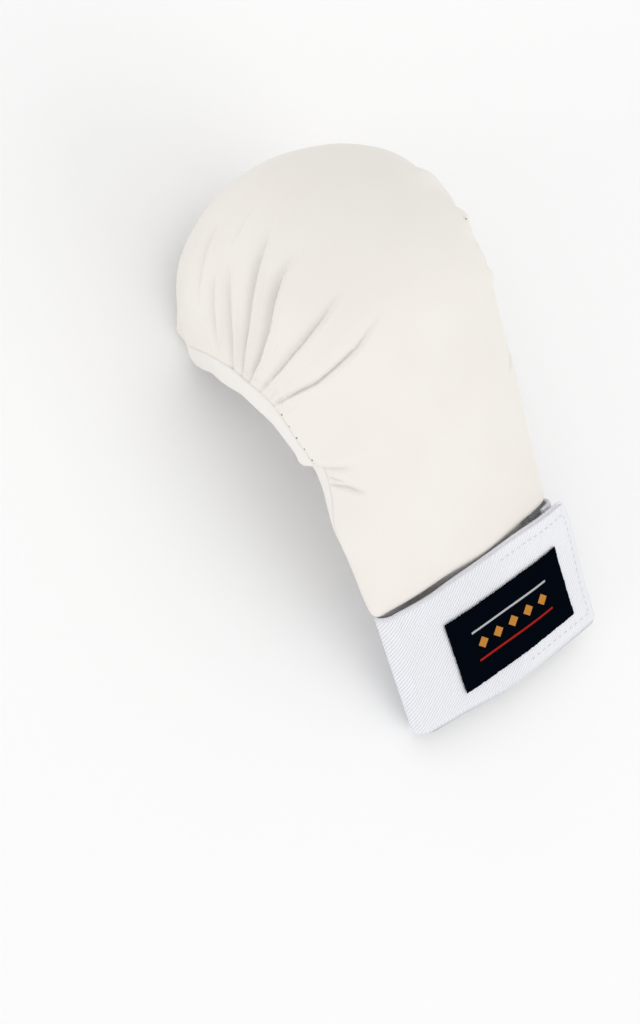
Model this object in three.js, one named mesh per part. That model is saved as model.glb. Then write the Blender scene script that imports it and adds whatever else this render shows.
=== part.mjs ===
// A padded karate mitt for one hand, lying palm down. Millimetres, +Z up, fist end towards +Y, origin on
// the surface it lies on, under the middle of its box.
//
// The mitt is worked out in the hand's own frame and then tilted to lie down. In the hand's frame X runs
// across the knuckles, Y runs from the wrist to the fist, and Z points out of the back of the hand. Z = 0 is
// the back of the hand, where the lining lies, and Y = 0 is the seam between the pad and the wrist band.
//
// A foam pad under a soft cover runs over the back of the hand and curls down in front of the fist. Its
// cover is gathered at both ends of the knuckles. A lining faces the hand and wraps the pad's lip. A wide
// elastic, sewn down at its middle, makes two finger loops. Two wings and an elastic strap cross the palm.
// The wrist band is one elastic strip folded into a flat ring and closed by a grip patch under its tab.
import * as THREE from "three";

// Wrist band, one strip of elastic
const BAND = {
  height: 55.5,
  thick: 1.8,
  left: -44.4,
  right: 45.4, // where it folds back under the tab
  tabEnd: 48.6,
  under: -1.3, // its palm face
  crown: 12.9, // its outer face where it arches highest over the wrist
  crownAt: 6,
  endCrown: 12.6, // the same at the wrist end
  arch: 3.8, // how much lower it is at 45 mm from the crown
  underTabFrom: 40.3,
  tabCorner: 4.5,
  foldCorner: 8,
};

// Grip patch and label
const GRIP = { from: 9, to: 43.5, thick: 1, margin: 3 };
const LABEL = { width: 59.5, height: 30.8, thick: 0.8, across: 8.2, below: 14.6 };

// Pad and lining
const LIP_RADIUS = 4.5;
const LINING_THICK = 1.5;
const SKIN_GAP = 0.35; // between pieces that touch
const PATCH_GAP = 0.4; // between the tab and the patches on it
const RECESS = LINING_THICK + 0.6; // depth of the pad's face under the lining
const WRIST_RECESS = 0.5; // more of it where the pad narrows into the wrist band
const SEAM_RISE = 4.2; // how far the lining wraps up the outside of the lip

// Straps and wings. A finger band's place is given along the pad at its edge towards the fingertips (tip)
// and at its edge towards the wrist (root), in the middle where it is sewn down and at its ends.
const STRAP = { width: 25, thick: 1.6, halfLength: 31, middle: 84, drop: 34, tilt: 30, sag: 2 };
const WING = {
  thick: 2.2,
  rootFrom: 3.8, // places along the pad
  rootTo: 5.85,
  rootInset: 1, // from the lip's lowest line towards the middle
  endWidth: 27.6,
  endAcross: 27.5,
  below: 2.2, // its end under the strap's middle plane
  bendOut: 5.5, // how far out it bows below the lip
  bendDrop: 8,
  levelOut: 8, // how far out it lies level with the strap
  waist: 3.4, // how much each edge pulls in half way
};
const FINGERS = {
  thick: 1.4,
  sewnHalf: 3.4,
  sewnShare: 0.15, // the sewn part's share of each half of the band
  tip: 9.15,
  root: 6.7,
  endTip: 7.35,
  endRoot: 5.65,
  slack: 6.5,
  gap: 0.75,
  endRise: 1.2, // its ends over the lip's line
};

// How it lies: the fist end is propped up by the curl, and the wrist band's end touches the surface.
const REST_TILT = THREE.MathUtils.degToRad(25.35);

// The pad's sections, from the wrist to the finger end. Each stands on the lip's line at (y, z), leans by
// turn degrees from straight up towards the fist, and has these sizes: half width of the lip, height of the
// outside and of the hand's side above the lip's line, how square its outside is, how cupped its hand's side
// is (0 flat, 1 a full arch), how far its flanks belly out, and how far it sits off to the right.
const COLUMNS = ["along", "y", "z", "turn", "half", "outer", "inner", "square", "cup", "belly", "shift"];
const SECTIONS = [
  [0, -9, 4.4, 0, 28, 1.6, -3.2, 2.1, 0, 0, 0],
  [0.4, -4, 4.2, 0, 37, 2.8, -3.2, 2.1, 0, 0, 0],
  [0.7, 0, 4.1, 0, 42.8, 4.4, -3.1, 2.25, 0, 0, 0],
  [1, 4, 4, 0, 45.5, 6.4, -3, 2.4, 0, 0, 0],
  [2, 24, 3.8, 0, 46.8, 10.8, -2.6, 2.4, 0, 0, 0],
  [3, 46, 3.2, 1, 48.5, 15.6, -2, 2.38, 0.05, -1, -0.4],
  [4, 67, 1, 4.8, 48.9, 23.7, 1.4, 2.33, 0.3, -0.7, -0.2],
  [5, 86.3, -5.6, 15.9, 50.9, 34.5, 9, 2.26, 0.75, 0.4, 0.5],
  [6, 97, -13.3, 34.4, 51.7, 51.2, 21, 2.23, 1, 2.5, 1.4],
  [7, 99.3, -27.7, 55.5, 52.7, 67.1, 29, 2.23, 1, 3.1, 1.9],
  [8, 100.5, -39.5, 69.8, 51.9, 69, 31, 2.24, 1, 3.1, 2.1],
  [9, 99.9, -53.6, 81.4, 48, 63, 30.5, 2.22, 1, 1.2, 1.6],
  [10, 100.2, -65.2, 87.2, 42.7, 52.2, 30, 2.25, 1, 0, 0.7],
  [11, 103, -72, 89.5, 37.8, 41.8, 29.5, 2.26, 1, 0.4, 0.2],
].map((row) => Object.fromEntries(COLUMNS.map((name, i) => [name, row[i]])));

// Gathers of the cover, the same on both sides: the turn of the section where each starts, how far it moves
// over as it runs (lean, in degrees), where it starts and ends over the pad from the lip, and its depth.
const GATHERS = [
  { turn: 26.0, lean: 3, from: 0, reach: 64, depth: 2.6 },
  { turn: 35.3, lean: 7, from: 0, reach: 62, depth: 3.0 },
  { turn: 44.0, lean: 11, from: 0, reach: 62, depth: 2.8 },
  { turn: 49.0, lean: 14, from: 0, reach: 62, depth: 2.4 },
  { turn: 55.5, lean: 13, from: 0, reach: 46, depth: 2.4 },
  { turn: 63.0, lean: 10, from: 6, reach: 42, depth: 1.8 },
  { turn: 71.0, lean: 7, from: 14, reach: 50, depth: 1.4 },
];
const GATHER_HALF_WIDTH = 2.1; // degrees of turn

// The gathered part of the cover also puffs out between its seams: from and to are turns in degrees, and the
// puff grows and fades over fade degrees.
const PUFF = { height: 1.3, reach: 52, from: 14, to: 88, fade: 14 };

// The finger end closes round: shares of the way to the section's middle line, and distances onward.
const TIP_ROUNDS = [
  [0.14, 1.8],
  [0.42, 3.1],
  [0.8, 3.8],
];

// Points on each section
const OUTER_STEPS = 26;
const LIP_STEPS = 3;
const ARCH_STEPS = 7;

const smooth = (t) => t * t * (3 - 2 * t);
const clamp01 = (t) => Math.min(1, Math.max(0, t));

// A column of the sections' table at a place between its rows, on a smooth curve through them.
function column(name, along) {
  const last = SECTIONS.length - 1;
  let i = 0;
  while (i < last - 1 && SECTIONS[i + 1].along < along) i++;
  const row = (k) => SECTIONS[Math.min(last, Math.max(0, k))];
  const slope = (k) => (row(k + 1)[name] - row(k - 1)[name]) / (row(k + 1).along - row(k - 1).along);
  const span = row(i + 1).along - row(i).along;
  const t = clamp01((along - row(i).along) / span);
  const [a, b] = [row(i)[name], row(i + 1)[name]];
  return (
    a * (2 * t ** 3 - 3 * t ** 2 + 1) +
    slope(i) * span * (t ** 3 - 2 * t ** 2 + t) +
    b * (3 * t ** 2 - 2 * t ** 3) +
    slope(i + 1) * span * (t ** 3 - t ** 2)
  );
}

// Everything about the pad's section at one place along it.
function sectionAt(along) {
  const section = { along };
  for (const name of COLUMNS.slice(1)) section[name] = column(name, along);
  const lean = THREE.MathUtils.degToRad(section.turn);
  section.up = new THREE.Vector3(0, Math.sin(lean), Math.cos(lean));
  const foot = new THREE.Vector3(section.shift, section.y, section.z);
  section.place = (x, n) => new THREE.Vector3(x, 0, 0).add(foot).addScaledVector(section.up, n);
  return section;
}

// How far the gathers push the cover in or out, at a distance over the pad from the lip.
function gatherAt(section, fromLip) {
  let push = 0;
  for (const g of GATHERS) {
    const share = clamp01(fromLip / g.reach);
    const off = (section.turn - g.turn - g.lean * share ** 1.5) / (GATHER_HALF_WIDTH * (1 + 0.6 * share));
    const fade = (1 - share ** 1.6) * smooth(clamp01((fromLip - g.from) / 7));
    push -= g.depth * fade * Math.exp(-off * off);
  }
  const grows = smooth(clamp01((section.turn - PUFF.from) / PUFF.fade));
  const fades = smooth(clamp01((PUFF.to - section.turn) / PUFF.fade));
  return push + PUFF.height * grows * fades * Math.sin(Math.PI * clamp01(fromLip / PUFF.reach)) ** 2;
}

// The outside of a section, from its left lip to its right, as [x, n] pairs. Its first and last point are
// where the cover meets the lining.
function outerLine(section) {
  const { half, outer, square, belly } = section;
  const rise = Math.min(SEAM_RISE, 0.45 * outer);
  const start = Math.asin((rise / outer) ** (square / 2));
  const line = [];
  for (let i = 0; i <= OUTER_STEPS; i++) {
    const a = start + ((Math.PI - 2 * start) * i) / OUTER_STEPS;
    const wide = half + belly * Math.sin(2 * Math.min(a, Math.PI - a)) ** 2;
    const x = -wide * Math.sign(Math.cos(a)) * Math.abs(Math.cos(a)) ** (2 / square);
    line.push([x, outer * Math.sin(a) ** (2 / square)]);
  }
  const lengths = line.map((p, i) => (i ? Math.hypot(p[0] - line[i - 1][0], p[1] - line[i - 1][1]) : 0));
  const total = lengths.reduce((sum, length) => sum + length, 0);
  let run = 0;
  return line.map(([x, n], i) => {
    run += lengths[i];
    const push = gatherAt(section, Math.min(run, total - run));
    const nx = x / (half * half);
    const nn = n / (outer * outer);
    const size = Math.hypot(nx, nn);
    return [x + (push * nx) / size, n + (push * nn) / size];
  });
}

// The hand's side of a section: from its left seam round the left lip, under the arch and round the right
// lip.
function innerLine(section, edgeGap) {
  const { half, outer, inner, square, cup } = section;
  const r = LIP_RADIUS;
  const rise = Math.min(SEAM_RISE, 0.45 * outer);
  const right = [];
  for (let i = 0; i < 2; i++) {
    const n = i ? rise / 2 : rise - edgeGap;
    right.push([half * (1 - (n / outer) ** square) ** (1 / square), n]);
  }
  for (let i = 0; i <= LIP_STEPS; i++) {
    const a = (Math.PI / 2) * (i / LIP_STEPS);
    right.push([half - r + r * Math.cos(a), -r * Math.sin(a)]);
  }
  const rest = LIP_STEPS + ARCH_STEPS;
  for (let i = 1; i <= rest; i++) {
    const flatX = (half - r) * (1 - i / rest);
    const flatN = -r + (inner + r) * (1 - (flatX / (half - r)) ** 2);
    let cupX, cupN;
    if (i <= LIP_STEPS) {
      const a = (Math.PI / 2) * (1 + i / LIP_STEPS);
      [cupX, cupN] = [half - r + r * Math.cos(a), -r * Math.sin(a)];
    } else {
      const a = (Math.PI / 2) * ((i - LIP_STEPS) / ARCH_STEPS);
      cupX = (half - 2 * r) * Math.cos(a) ** 0.9;
      cupN = inner * Math.sin(a) ** 0.9;
    }
    right.push([flatX + (cupX - flatX) * cup, flatN + (cupN - flatN) * cup]);
  }
  const left = right.slice(0, -1).map(([x, n]) => [-x, n]);
  return [...left, ...right.reverse()];
}

function geometryOf(points, faces) {
  const geometry = new THREE.BufferGeometry();
  const places = points.flatMap((p) => [p.x, p.y, p.z]);
  geometry.setAttribute("position", new THREE.Float32BufferAttribute(places, 3));
  geometry.setIndex(faces);
  geometry.computeVertexNormals();
  return geometry;
}

// A closed solid through rings of points. Each ring runs over an outer side of outerCount points and back
// along an inner side. The end caps join the two sides point by point.
function loft(rings, outerCount) {
  const count = rings[0].length;
  const faces = [];
  for (let i = 0; i + 1 < rings.length; i++) {
    for (let j = 0; j < count; j++) {
      const k = (j + 1) % count;
      const [a, b, c, d] = [i * count + j, i * count + k, (i + 1) * count + k, (i + 1) * count + j];
      faces.push(a, b, c, a, c, d);
    }
  }
  const cap = (first, flip) => {
    const face = (a, b, c) => faces.push(...(flip ? [a, b, c] : [c, b, a]).map((k) => first + k));
    const innerCount = count - outerCount;
    let [i, j] = [0, 0];
    while (i < outerCount - 1 || j < innerCount - 1) {
      const near = count - 1 - j;
      if (j === innerCount - 1 || (i < outerCount - 1 && (i + 1) / outerCount <= (j + 1) / innerCount)) {
        face(i, i + 1, near);
        i++;
      } else {
        face(i, near - 1, near);
        j++;
      }
    }
  };
  cap(0, false);
  cap((rings.length - 1) * count, true);
  return geometryOf(rings.flat(), faces);
}

// A grid of points moved by a distance behind it. Its front faces the side from which its rows and columns
// turn anticlockwise.
function behind(grid, distance) {
  const within = (k, count) => Math.min(count - 1, Math.max(0, k));
  const at = (i, j) => grid[within(i, grid.length)][within(j, grid[0].length)];
  return grid.map((row, i) =>
    row.map((p, j) => {
      const down = at(i + 1, j).clone().sub(at(i - 1, j));
      const across = at(i, j + 1).clone().sub(at(i, j - 1));
      return p.clone().addScaledVector(down.cross(across).normalize(), -distance(i));
    }),
  );
}

// A closed sheet of a given thickness behind a grid of points.
function sheet(grid, thick) {
  const [rows, cols] = [grid.length, grid[0].length];
  const back = behind(grid, () => thick);
  const faces = [];
  const front = (i, j) => i * cols + j;
  const rear = (i, j) => rows * cols + i * cols + j;
  const quad = (a, b, c, d) => faces.push(a, b, c, a, c, d);
  for (let i = 0; i + 1 < rows; i++) {
    for (let j = 0; j + 1 < cols; j++) {
      quad(front(i, j), front(i + 1, j), front(i + 1, j + 1), front(i, j + 1));
      quad(rear(i, j), rear(i, j + 1), rear(i + 1, j + 1), rear(i + 1, j));
    }
    quad(front(i, 0), rear(i, 0), rear(i + 1, 0), front(i + 1, 0));
    quad(front(i, cols - 1), front(i + 1, cols - 1), rear(i + 1, cols - 1), rear(i, cols - 1));
  }
  for (let j = 0; j + 1 < cols; j++) {
    quad(front(0, j), front(0, j + 1), rear(0, j + 1), rear(0, j));
    quad(front(rows - 1, j), rear(rows - 1, j), rear(rows - 1, j + 1), front(rows - 1, j + 1));
  }
  return geometryOf([...grid.flat(), ...back.flat()], faces);
}

// Places along the pad: a few over the back of the hand, then each gather's valley and the crests beside it.
const LINING_FROM = 0.84;
const LINING_END = 10.55;
function stationsAlong() {
  const back = [0, 0.25, 0.5, 0.75, 1, 1.6, 2.3, 3, 3.6, 4.2, 4.7, 5.1, 5.35];
  const alongAtTurn = (turn) => {
    let [low, high] = [4, 10];
    for (let i = 0; i < 40; i++) {
      const mid = (low + high) / 2;
      if (column("turn", mid) < turn) low = mid;
      else high = mid;
    }
    return low;
  };
  const curl = [];
  GATHERS.forEach((g, i) => {
    const next = i + 1 < GATHERS.length ? GATHERS[i + 1].turn : g.turn + 7;
    curl.push(alongAtTurn(g.turn), alongAtTurn((g.turn + next) / 2));
  });
  const end = [8.7, 9.1, 9.6, 10.1, LINING_END, 10.62, 10.85, 11];
  return [...back, ...curl.sort((a, b) => a - b), ...end];
}

function makePad() {
  const stations = stationsAlong();
  const sections = stations.map(sectionAt);
  const faceGrid = sections.map((section) => innerLine(section, 0).map(([x, n]) => section.place(x, n)));
  const face = behind(faceGrid, (i) =>
    stations[i] <= LINING_END ? RECESS + WRIST_RECESS * clamp01((2.3 - stations[i]) / 1.3) : 0,
  );
  const rings = sections.map((section, i) => [
    ...outerLine(section).map(([x, n]) => section.place(x, n)),
    ...face[i].reverse(),
  ]);
  const tip = sections[sections.length - 1];
  const onward = new THREE.Vector3(0, tip.up.z, -tip.up.y);
  const last = rings[rings.length - 1];
  const middle = middleOf(last);
  for (const [shrink, forward] of TIP_ROUNDS) {
    rings.push(last.map((p, i) => p.clone().lerp(middle[i], shrink).addScaledVector(onward, forward)));
  }
  return loft(rings, OUTER_STEPS + 1);
}

// For each point of a crescent, the point half way to the crescent's other side.
function middleOf(ring) {
  const outer = ring.slice(0, OUTER_STEPS + 1);
  const inner = ring.slice(OUTER_STEPS + 1);
  const half = (p, line) => {
    const nearest = line.reduce((best, q) => (q.distanceTo(p) < best.distanceTo(p) ? q : best));
    return p.clone().lerp(nearest, 0.5);
  };
  return [...outer.map((p) => half(p, inner)), ...inner.map((p) => half(p, outer))];
}

function makeLining() {
  const stations = stationsAlong().filter((along) => along >= 1 && along <= LINING_END);
  stations[0] = LINING_FROM;
  stations[stations.length - 1] -= 0.04;
  const grid = stations.map((along) => {
    const section = sectionAt(along);
    return innerLine(section, SKIN_GAP).map(([x, n]) => section.place(x, n));
  });
  return sheet(grid, LINING_THICK);
}

// Height of the wrist band's outer face on the back of the hand.
function bandFace(x, y) {
  const crown = BAND.crown + ((BAND.endCrown - BAND.crown) * -y) / BAND.height;
  return crown - BAND.arch * ((x - BAND.crownAt) / 45) ** 2;
}

// How much a rounded corner takes off the band's length at one distance from its edge.
function cornerCut(radius, distance) {
  return distance < radius ? radius - Math.sqrt(radius ** 2 - (radius - distance) ** 2) : 0;
}

// The ring of the wrist band at one distance from the pad, as points of its outer face: from the end under
// the tab, round the palm side, to the tab.
function bandLine(y) {
  const left = BAND.left + cornerCut(BAND.foldCorner, BAND.height + y);
  const tabEnd = BAND.tabEnd - cornerCut(BAND.tabCorner, BAND.height + y) - cornerCut(BAND.tabCorner, -y);
  const underTab = (x) => bandFace(x, y) - 2 * PATCH_GAP - BAND.thick - GRIP.thick;
  const line = [];
  const fold = (x, low, high, turnFrom, turnTo, steps) => {
    const [middle, r] = [(low + high) / 2, (high - low) / 2];
    for (let i = 0; i <= steps; i++) {
      const a = THREE.MathUtils.degToRad(turnFrom + (turnTo - turnFrom) * (i / steps));
      line.push([x + r * Math.cos(a), middle + r * Math.sin(a)]);
    }
  };
  const rightFold = BAND.right - (underTab(BAND.right) - BAND.under) / 2;
  for (let i = 0; i < 2; i++) {
    const x = BAND.underTabFrom + (rightFold - BAND.underTabFrom) * (i / 2);
    line.push([x, underTab(x)]);
  }
  fold(rightFold, BAND.under, underTab(rightFold), 90, -90, 6);
  const leftFold = left + (bandFace(left + 5, y) - BAND.under) / 2;
  for (let i = 1; i < 8; i++) line.push([rightFold + ((leftFold - rightFold) * i) / 8, BAND.under]);
  fold(leftFold, BAND.under, bandFace(leftFold, y), 270, 90, 8);
  for (let i = 1; i <= 10; i++) {
    const x = leftFold + ((tabEnd - leftFold) * i) / 10;
    line.push([x, bandFace(x, y)]);
  }
  return line;
}

function makeWristBand() {
  const places = [0, 1, 4.5, 18, 36, 47.5, 51.5, 54.3].map((d) => -d);
  const ring = (y) => bandLine(y).map(([x, z]) => new THREE.Vector3(x, y, z));
  return sheet([...places, -BAND.height].map(ring), BAND.thick);
}

// A patch that follows the tab's outer face, a distance above or below it.
function patchOnTab(from, to, top, bottom, above, thick) {
  const grid = [top, bottom].map((y) => {
    const line = [];
    for (let i = 0; i <= 6; i++) {
      const x = from + ((to - from) * i) / 6;
      line.push(new THREE.Vector3(x, -y, bandFace(x, -y) + above));
    }
    return line;
  });
  return sheet(grid, thick);
}

// The elastic that makes the finger loops. It is sewn to the lining in the middle, and its ends meet the
// inner walls of the pad's lip.
function makeFingerBand() {
  const [steps, rows] = [12, 5];
  const grid = [];
  for (let i = 0; i <= rows; i++) {
    const line = [];
    for (let j = -steps; j <= steps; j++) {
      const share = Math.abs(j) / steps;
      const tip = FINGERS.tip + (FINGERS.endTip - FINGERS.tip) * share ** 2;
      const root = FINGERS.root + (FINGERS.endRoot - FINGERS.root) * share ** 0.8;
      const section = sectionAt(root + (tip - root) * (i / rows));
      const wall = section.half - 2 * LIP_RADIUS - FINGERS.thick - FINGERS.gap;
      const sewn = Math.min(1, share / FINGERS.sewnShare);
      const free = clamp01((share - FINGERS.sewnShare) / (1 - FINGERS.sewnShare));
      const x = FINGERS.sewnHalf * sewn + (wall - FINGERS.sewnHalf) * free;
      const high = section.inner - FINGERS.gap - FINGERS.thick;
      const straight = high * (1 - free) ** 0.85 + FINGERS.endRise * free;
      const n = straight - FINGERS.slack * Math.sin(Math.PI * free);
      line.push(section.place(Math.sign(j) * x, n));
    }
    grid.push(line);
  }
  return sheet(grid, FINGERS.thick);
}

// A place in the palm strap's tilted plane, a distance from its middle line and a distance below it.
function onStrap(x, fromMiddle, below) {
  const tilt = THREE.MathUtils.degToRad(STRAP.tilt);
  const y = STRAP.middle + fromMiddle * Math.cos(tilt) - below * Math.sin(tilt);
  return new THREE.Vector3(x, y, -STRAP.drop - fromMiddle * Math.sin(tilt) - below * Math.cos(tilt));
}

function makeStrap() {
  const grid = [];
  for (const across of [-0.5, 0, 0.5]) {
    const line = [];
    for (let j = 0; j <= 12; j++) {
      const x = STRAP.halfLength * (j / 6 - 1);
      line.push(onStrap(x, across * STRAP.width, STRAP.sag * (1 - (x / STRAP.halfLength) ** 2)));
    }
    grid.push(line);
  }
  return sheet(grid, STRAP.thick);
}

// A wing from below the pad's lip to the strap's end. side is -1 for the left and 1 for the right.
function makeWing(side) {
  const [steps, cols] = [8, 6];
  const columns = [];
  for (let j = 0; j <= cols; j++) {
    const u = j / cols;
    const section = sectionAt(WING.rootFrom + (WING.rootTo - WING.rootFrom) * u);
    const rootAcross = section.half - LIP_RADIUS - WING.rootInset;
    const root = section.place(side * rootAcross, -LIP_RADIUS - 2 * SKIN_GAP);
    const end = onStrap(side * WING.endAcross, WING.endWidth * (u - 0.5), WING.below);
    const bend = root.clone().add(new THREE.Vector3(-side * WING.bendOut, 0, -WING.bendDrop));
    bend.y = (2 * root.y + end.y) / 3;
    const level = end.clone().add(new THREE.Vector3(side * WING.levelOut, 0, 0));
    level.y = (root.y + 3 * end.y) / 4;
    const curve = new THREE.CubicBezierCurve3(root, bend, level, end);
    columns.push(curve.getPoints(steps));
  }
  const grid = [];
  for (let i = 0; i <= steps; i++) {
    const waist = WING.waist * Math.sin((Math.PI * i) / steps);
    const line = columns.map((column, j) => {
      const p = column[i].clone();
      p.y += waist * (1 - (2 * j) / cols);
      return p;
    });
    grid.push(side < 0 ? line : line.reverse());
  }
  return sheet(grid, WING.thick);
}

const finish = (color, roughness) => new THREE.MeshStandardMaterial({ color, roughness, metalness: 0 });
const COVER = finish(0xeeebe5, 0.5);
const LINER = finish(0xebe8e2, 0.55);
const ELASTIC = finish(0xe4e6ee, 0.85);
const GRIP_TAPE = finish(0xdfe0e4, 0.95);
const WOVEN_LABEL = finish(0x0a0e18, 0.8);

const hand = new THREE.Group();
function addPiece(name, geometry, material) {
  const mesh = new THREE.Mesh(geometry, material);
  mesh.name = name;
  hand.add(mesh);
}

addPiece("pad", makePad(), COVER);
addPiece("lining", makeLining(), LINER);
addPiece("finger_band", makeFingerBand(), ELASTIC);
addPiece("palm_strap", makeStrap(), ELASTIC);
addPiece("wing_left", makeWing(-1), COVER);
addPiece("wing_right", makeWing(1), COVER);
addPiece("wrist_band", makeWristBand(), ELASTIC);
const gripLine = [GRIP.from, GRIP.to, GRIP.margin, BAND.height - GRIP.margin];
addPiece("grip_patch", patchOnTab(...gripLine, -BAND.thick - PATCH_GAP, GRIP.thick), GRIP_TAPE);
const labelLeft = LABEL.across - LABEL.width / 2;
const labelLine = [labelLeft, labelLeft + LABEL.width, LABEL.below, LABEL.below + LABEL.height];
addPiece("label", patchOnTab(...labelLine, PATCH_GAP + LABEL.thick, LABEL.thick), WOVEN_LABEL);

// Tilt the mitt as it lies, and put the origin under the middle of its box.
hand.rotation.x = REST_TILT;
const mitt = new THREE.Group();
mitt.add(hand);
mitt.updateMatrixWorld(true);
const box = new THREE.Box3().setFromObject(mitt, true);
hand.position.set(-(box.min.x + box.max.x) / 2, -(box.min.y + box.max.y) / 2, -box.min.z);

export default mitt;
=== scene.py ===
"""A padded karate mitt, lying palm down on a pale floor, dressed over its CAD frame.

Shapes are worked out in the hand's own frame, in millimetres: X runs across the knuckles, Y from the
wrist to the fist, and Z out of the back of the hand. place() takes them to the row's frame, in metres.
"""
import math
import bpy
import numpy as np
from mathutils import Matrix, Vector


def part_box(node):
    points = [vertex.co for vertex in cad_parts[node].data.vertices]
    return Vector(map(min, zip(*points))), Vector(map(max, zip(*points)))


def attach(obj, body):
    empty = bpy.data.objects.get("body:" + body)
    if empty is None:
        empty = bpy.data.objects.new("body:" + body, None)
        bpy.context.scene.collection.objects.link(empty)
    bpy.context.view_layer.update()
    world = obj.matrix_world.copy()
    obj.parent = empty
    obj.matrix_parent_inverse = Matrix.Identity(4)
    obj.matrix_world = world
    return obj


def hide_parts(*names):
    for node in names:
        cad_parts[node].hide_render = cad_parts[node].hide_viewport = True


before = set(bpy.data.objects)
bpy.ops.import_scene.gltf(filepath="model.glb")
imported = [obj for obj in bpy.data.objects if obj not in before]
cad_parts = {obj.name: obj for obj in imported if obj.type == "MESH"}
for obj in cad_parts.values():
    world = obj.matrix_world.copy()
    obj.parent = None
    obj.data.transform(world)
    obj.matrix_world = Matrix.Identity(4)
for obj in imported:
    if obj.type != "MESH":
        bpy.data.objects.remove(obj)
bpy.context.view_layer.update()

from types import SimpleNamespace as Sizes

SEED = 7
MM = 0.001
TINY = 1e-9

# Sizes that the CAD model has too, in mm. Only LINING_END and fold_corner are a little smaller here.
# LINING_FROM, LINING_END, PAD_RIM_FROM and every tip and root are places along the pad, by its sections'
# numbers.
REST_TILT = math.radians(25.35)
LIP_RADIUS = 4.5
LINING_THICK = 1.5
SKIN_GAP = 0.35
PATCH_GAP = SKIN_GAP + 0.05
RECESS = LINING_THICK + 0.6
WRIST_RECESS = 0.5
LINING_FROM = 0.84
LINING_END = 10.51
PAD_RIM_FROM = 10.55
BAND = Sizes(height=55.5, thick=1.8, left=-44.4, right=45.4, tab_end=48.6, under=-1.3, crown=12.9,
             crown_at=6.0, end_crown=12.6, arch=3.8, arch_reach=45, under_tab_from=40.3, tab_corner=3.4,
             fold_corner=2.2)
GRIP = Sizes(left=9.0, right=43.5, thick=1.0, margin=3.0)
LABEL = Sizes(width=59.5, height=30.8, thick=0.8, across=8.2, below=14.6)
STRAP = Sizes(width=25.0, thick=1.6, half_length=31.0, middle=84.0, drop=34.0, tilt=30.0, sag=2.0)
WING = Sizes(thick=2.2, root_from=3.8, root_to=5.85, end_width=27.6, end_across=27.5, below=2.2)
FINGERS = Sizes(thick=1.4, sewn_half=3.4, tip=9.15, root=6.7, end_tip=7.35, end_root=5.65, slack=6.5,
                gap=0.75)

# The pad's sections, as in the CAD model
COLUMNS = ["along", "y", "z", "turn", "half", "outer", "inner", "square", "cup", "belly", "shift"]
SECTIONS = np.array([
    [0.0, -9, 4.4, 0, 28, 1.6, -3.2, 2.1, 0, 0, 0],
    [0.4, -4, 4.2, 0, 37, 2.8, -3.2, 2.1, 0, 0, 0],
    [0.7, 0, 4.1, 0, 42.8, 4.4, -3.1, 2.25, 0, 0, 0],
    [1.0, 4, 4.0, 0, 45.5, 6.4, -3.0, 2.4, 0, 0, 0],
    [2.0, 24, 3.8, 0, 46.8, 10.8, -2.6, 2.4, 0, 0, 0],
    [3.0, 46, 3.2, 1, 48.5, 15.6, -2, 2.38, 0.05, -1, -0.4],
    [4.0, 67, 1.0, 4.8, 48.9, 23.7, 1.4, 2.33, 0.3, -0.7, -0.2],
    [5.0, 86.3, -5.6, 15.9, 50.9, 34.5, 9, 2.26, 0.75, 0.4, 0.5],
    [6.0, 97, -13.3, 34.4, 51.7, 51.2, 21, 2.23, 1, 2.5, 1.4],
    [7.0, 99.3, -27.7, 55.5, 52.7, 67.1, 29, 2.23, 1, 3.1, 1.9],
    [8.0, 100.5, -39.5, 69.8, 51.9, 69, 31, 2.24, 1, 3.1, 2.1],
    [9.0, 99.9, -53.6, 81.4, 48, 63, 30.5, 2.22, 1, 1.2, 1.6],
    [10.0, 100.2, -65.2, 87.2, 42.7, 52.2, 30, 2.25, 1, 0, 0.7],
    [11.0, 103, -72, 89.5, 37.8, 41.8, 29.5, 2.26, 1, 0.4, 0.2],
])
PAD_END = SECTIONS[-1, 0]

# Points along half of a section's outline: on the flank, round the lip, on the hand's side, and how many
# of the last turn round the lip where the section is cupped
FLANK_POINTS, LIP_POINTS, FACE_POINTS, CUP_LIP_POINTS = 260, 24, 90, 27
CUP_POWER = 0.9

# Where the cover meets the lining: how far up the pad's flank from the lip's widest point, in mm, by the
# section's turn in degrees
SEAM_TURNS = [-1, 0, 0.5, 2, 5, 10, 25, 35, 47, 59, 74, 87, 90]
SEAM_HEIGHTS = [-3.6, -3.6, -1.0, 2.6, 4.4, 4.6, 4.6, 5.0, 6.7, 8.6, 8.6, 5.8, 5.0]

# How far the pad's left side is drawn in beside the wing's corner, from where, and over what lengths
TUCK = Sizes(by=3.0, from_y=71.5, fist_length=4.5, to_y=36.0, wrist_length=30, from_x=-22, side_length=26)

# Where the pad's left lip stands out or in a little: the middle of each place, its reach, and the shift
LIP_SHIFTS = [
    ((-50, 94.5, -15), 8.5, (-2.9, -1.7, -0.8)),
    ((-49.5, 80, -5), 10, (-1.1, -0.6, -0.3)),
    ((-46.5, 98, -50), 10, (1.2, 0.75, 0.3)),
]

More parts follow.
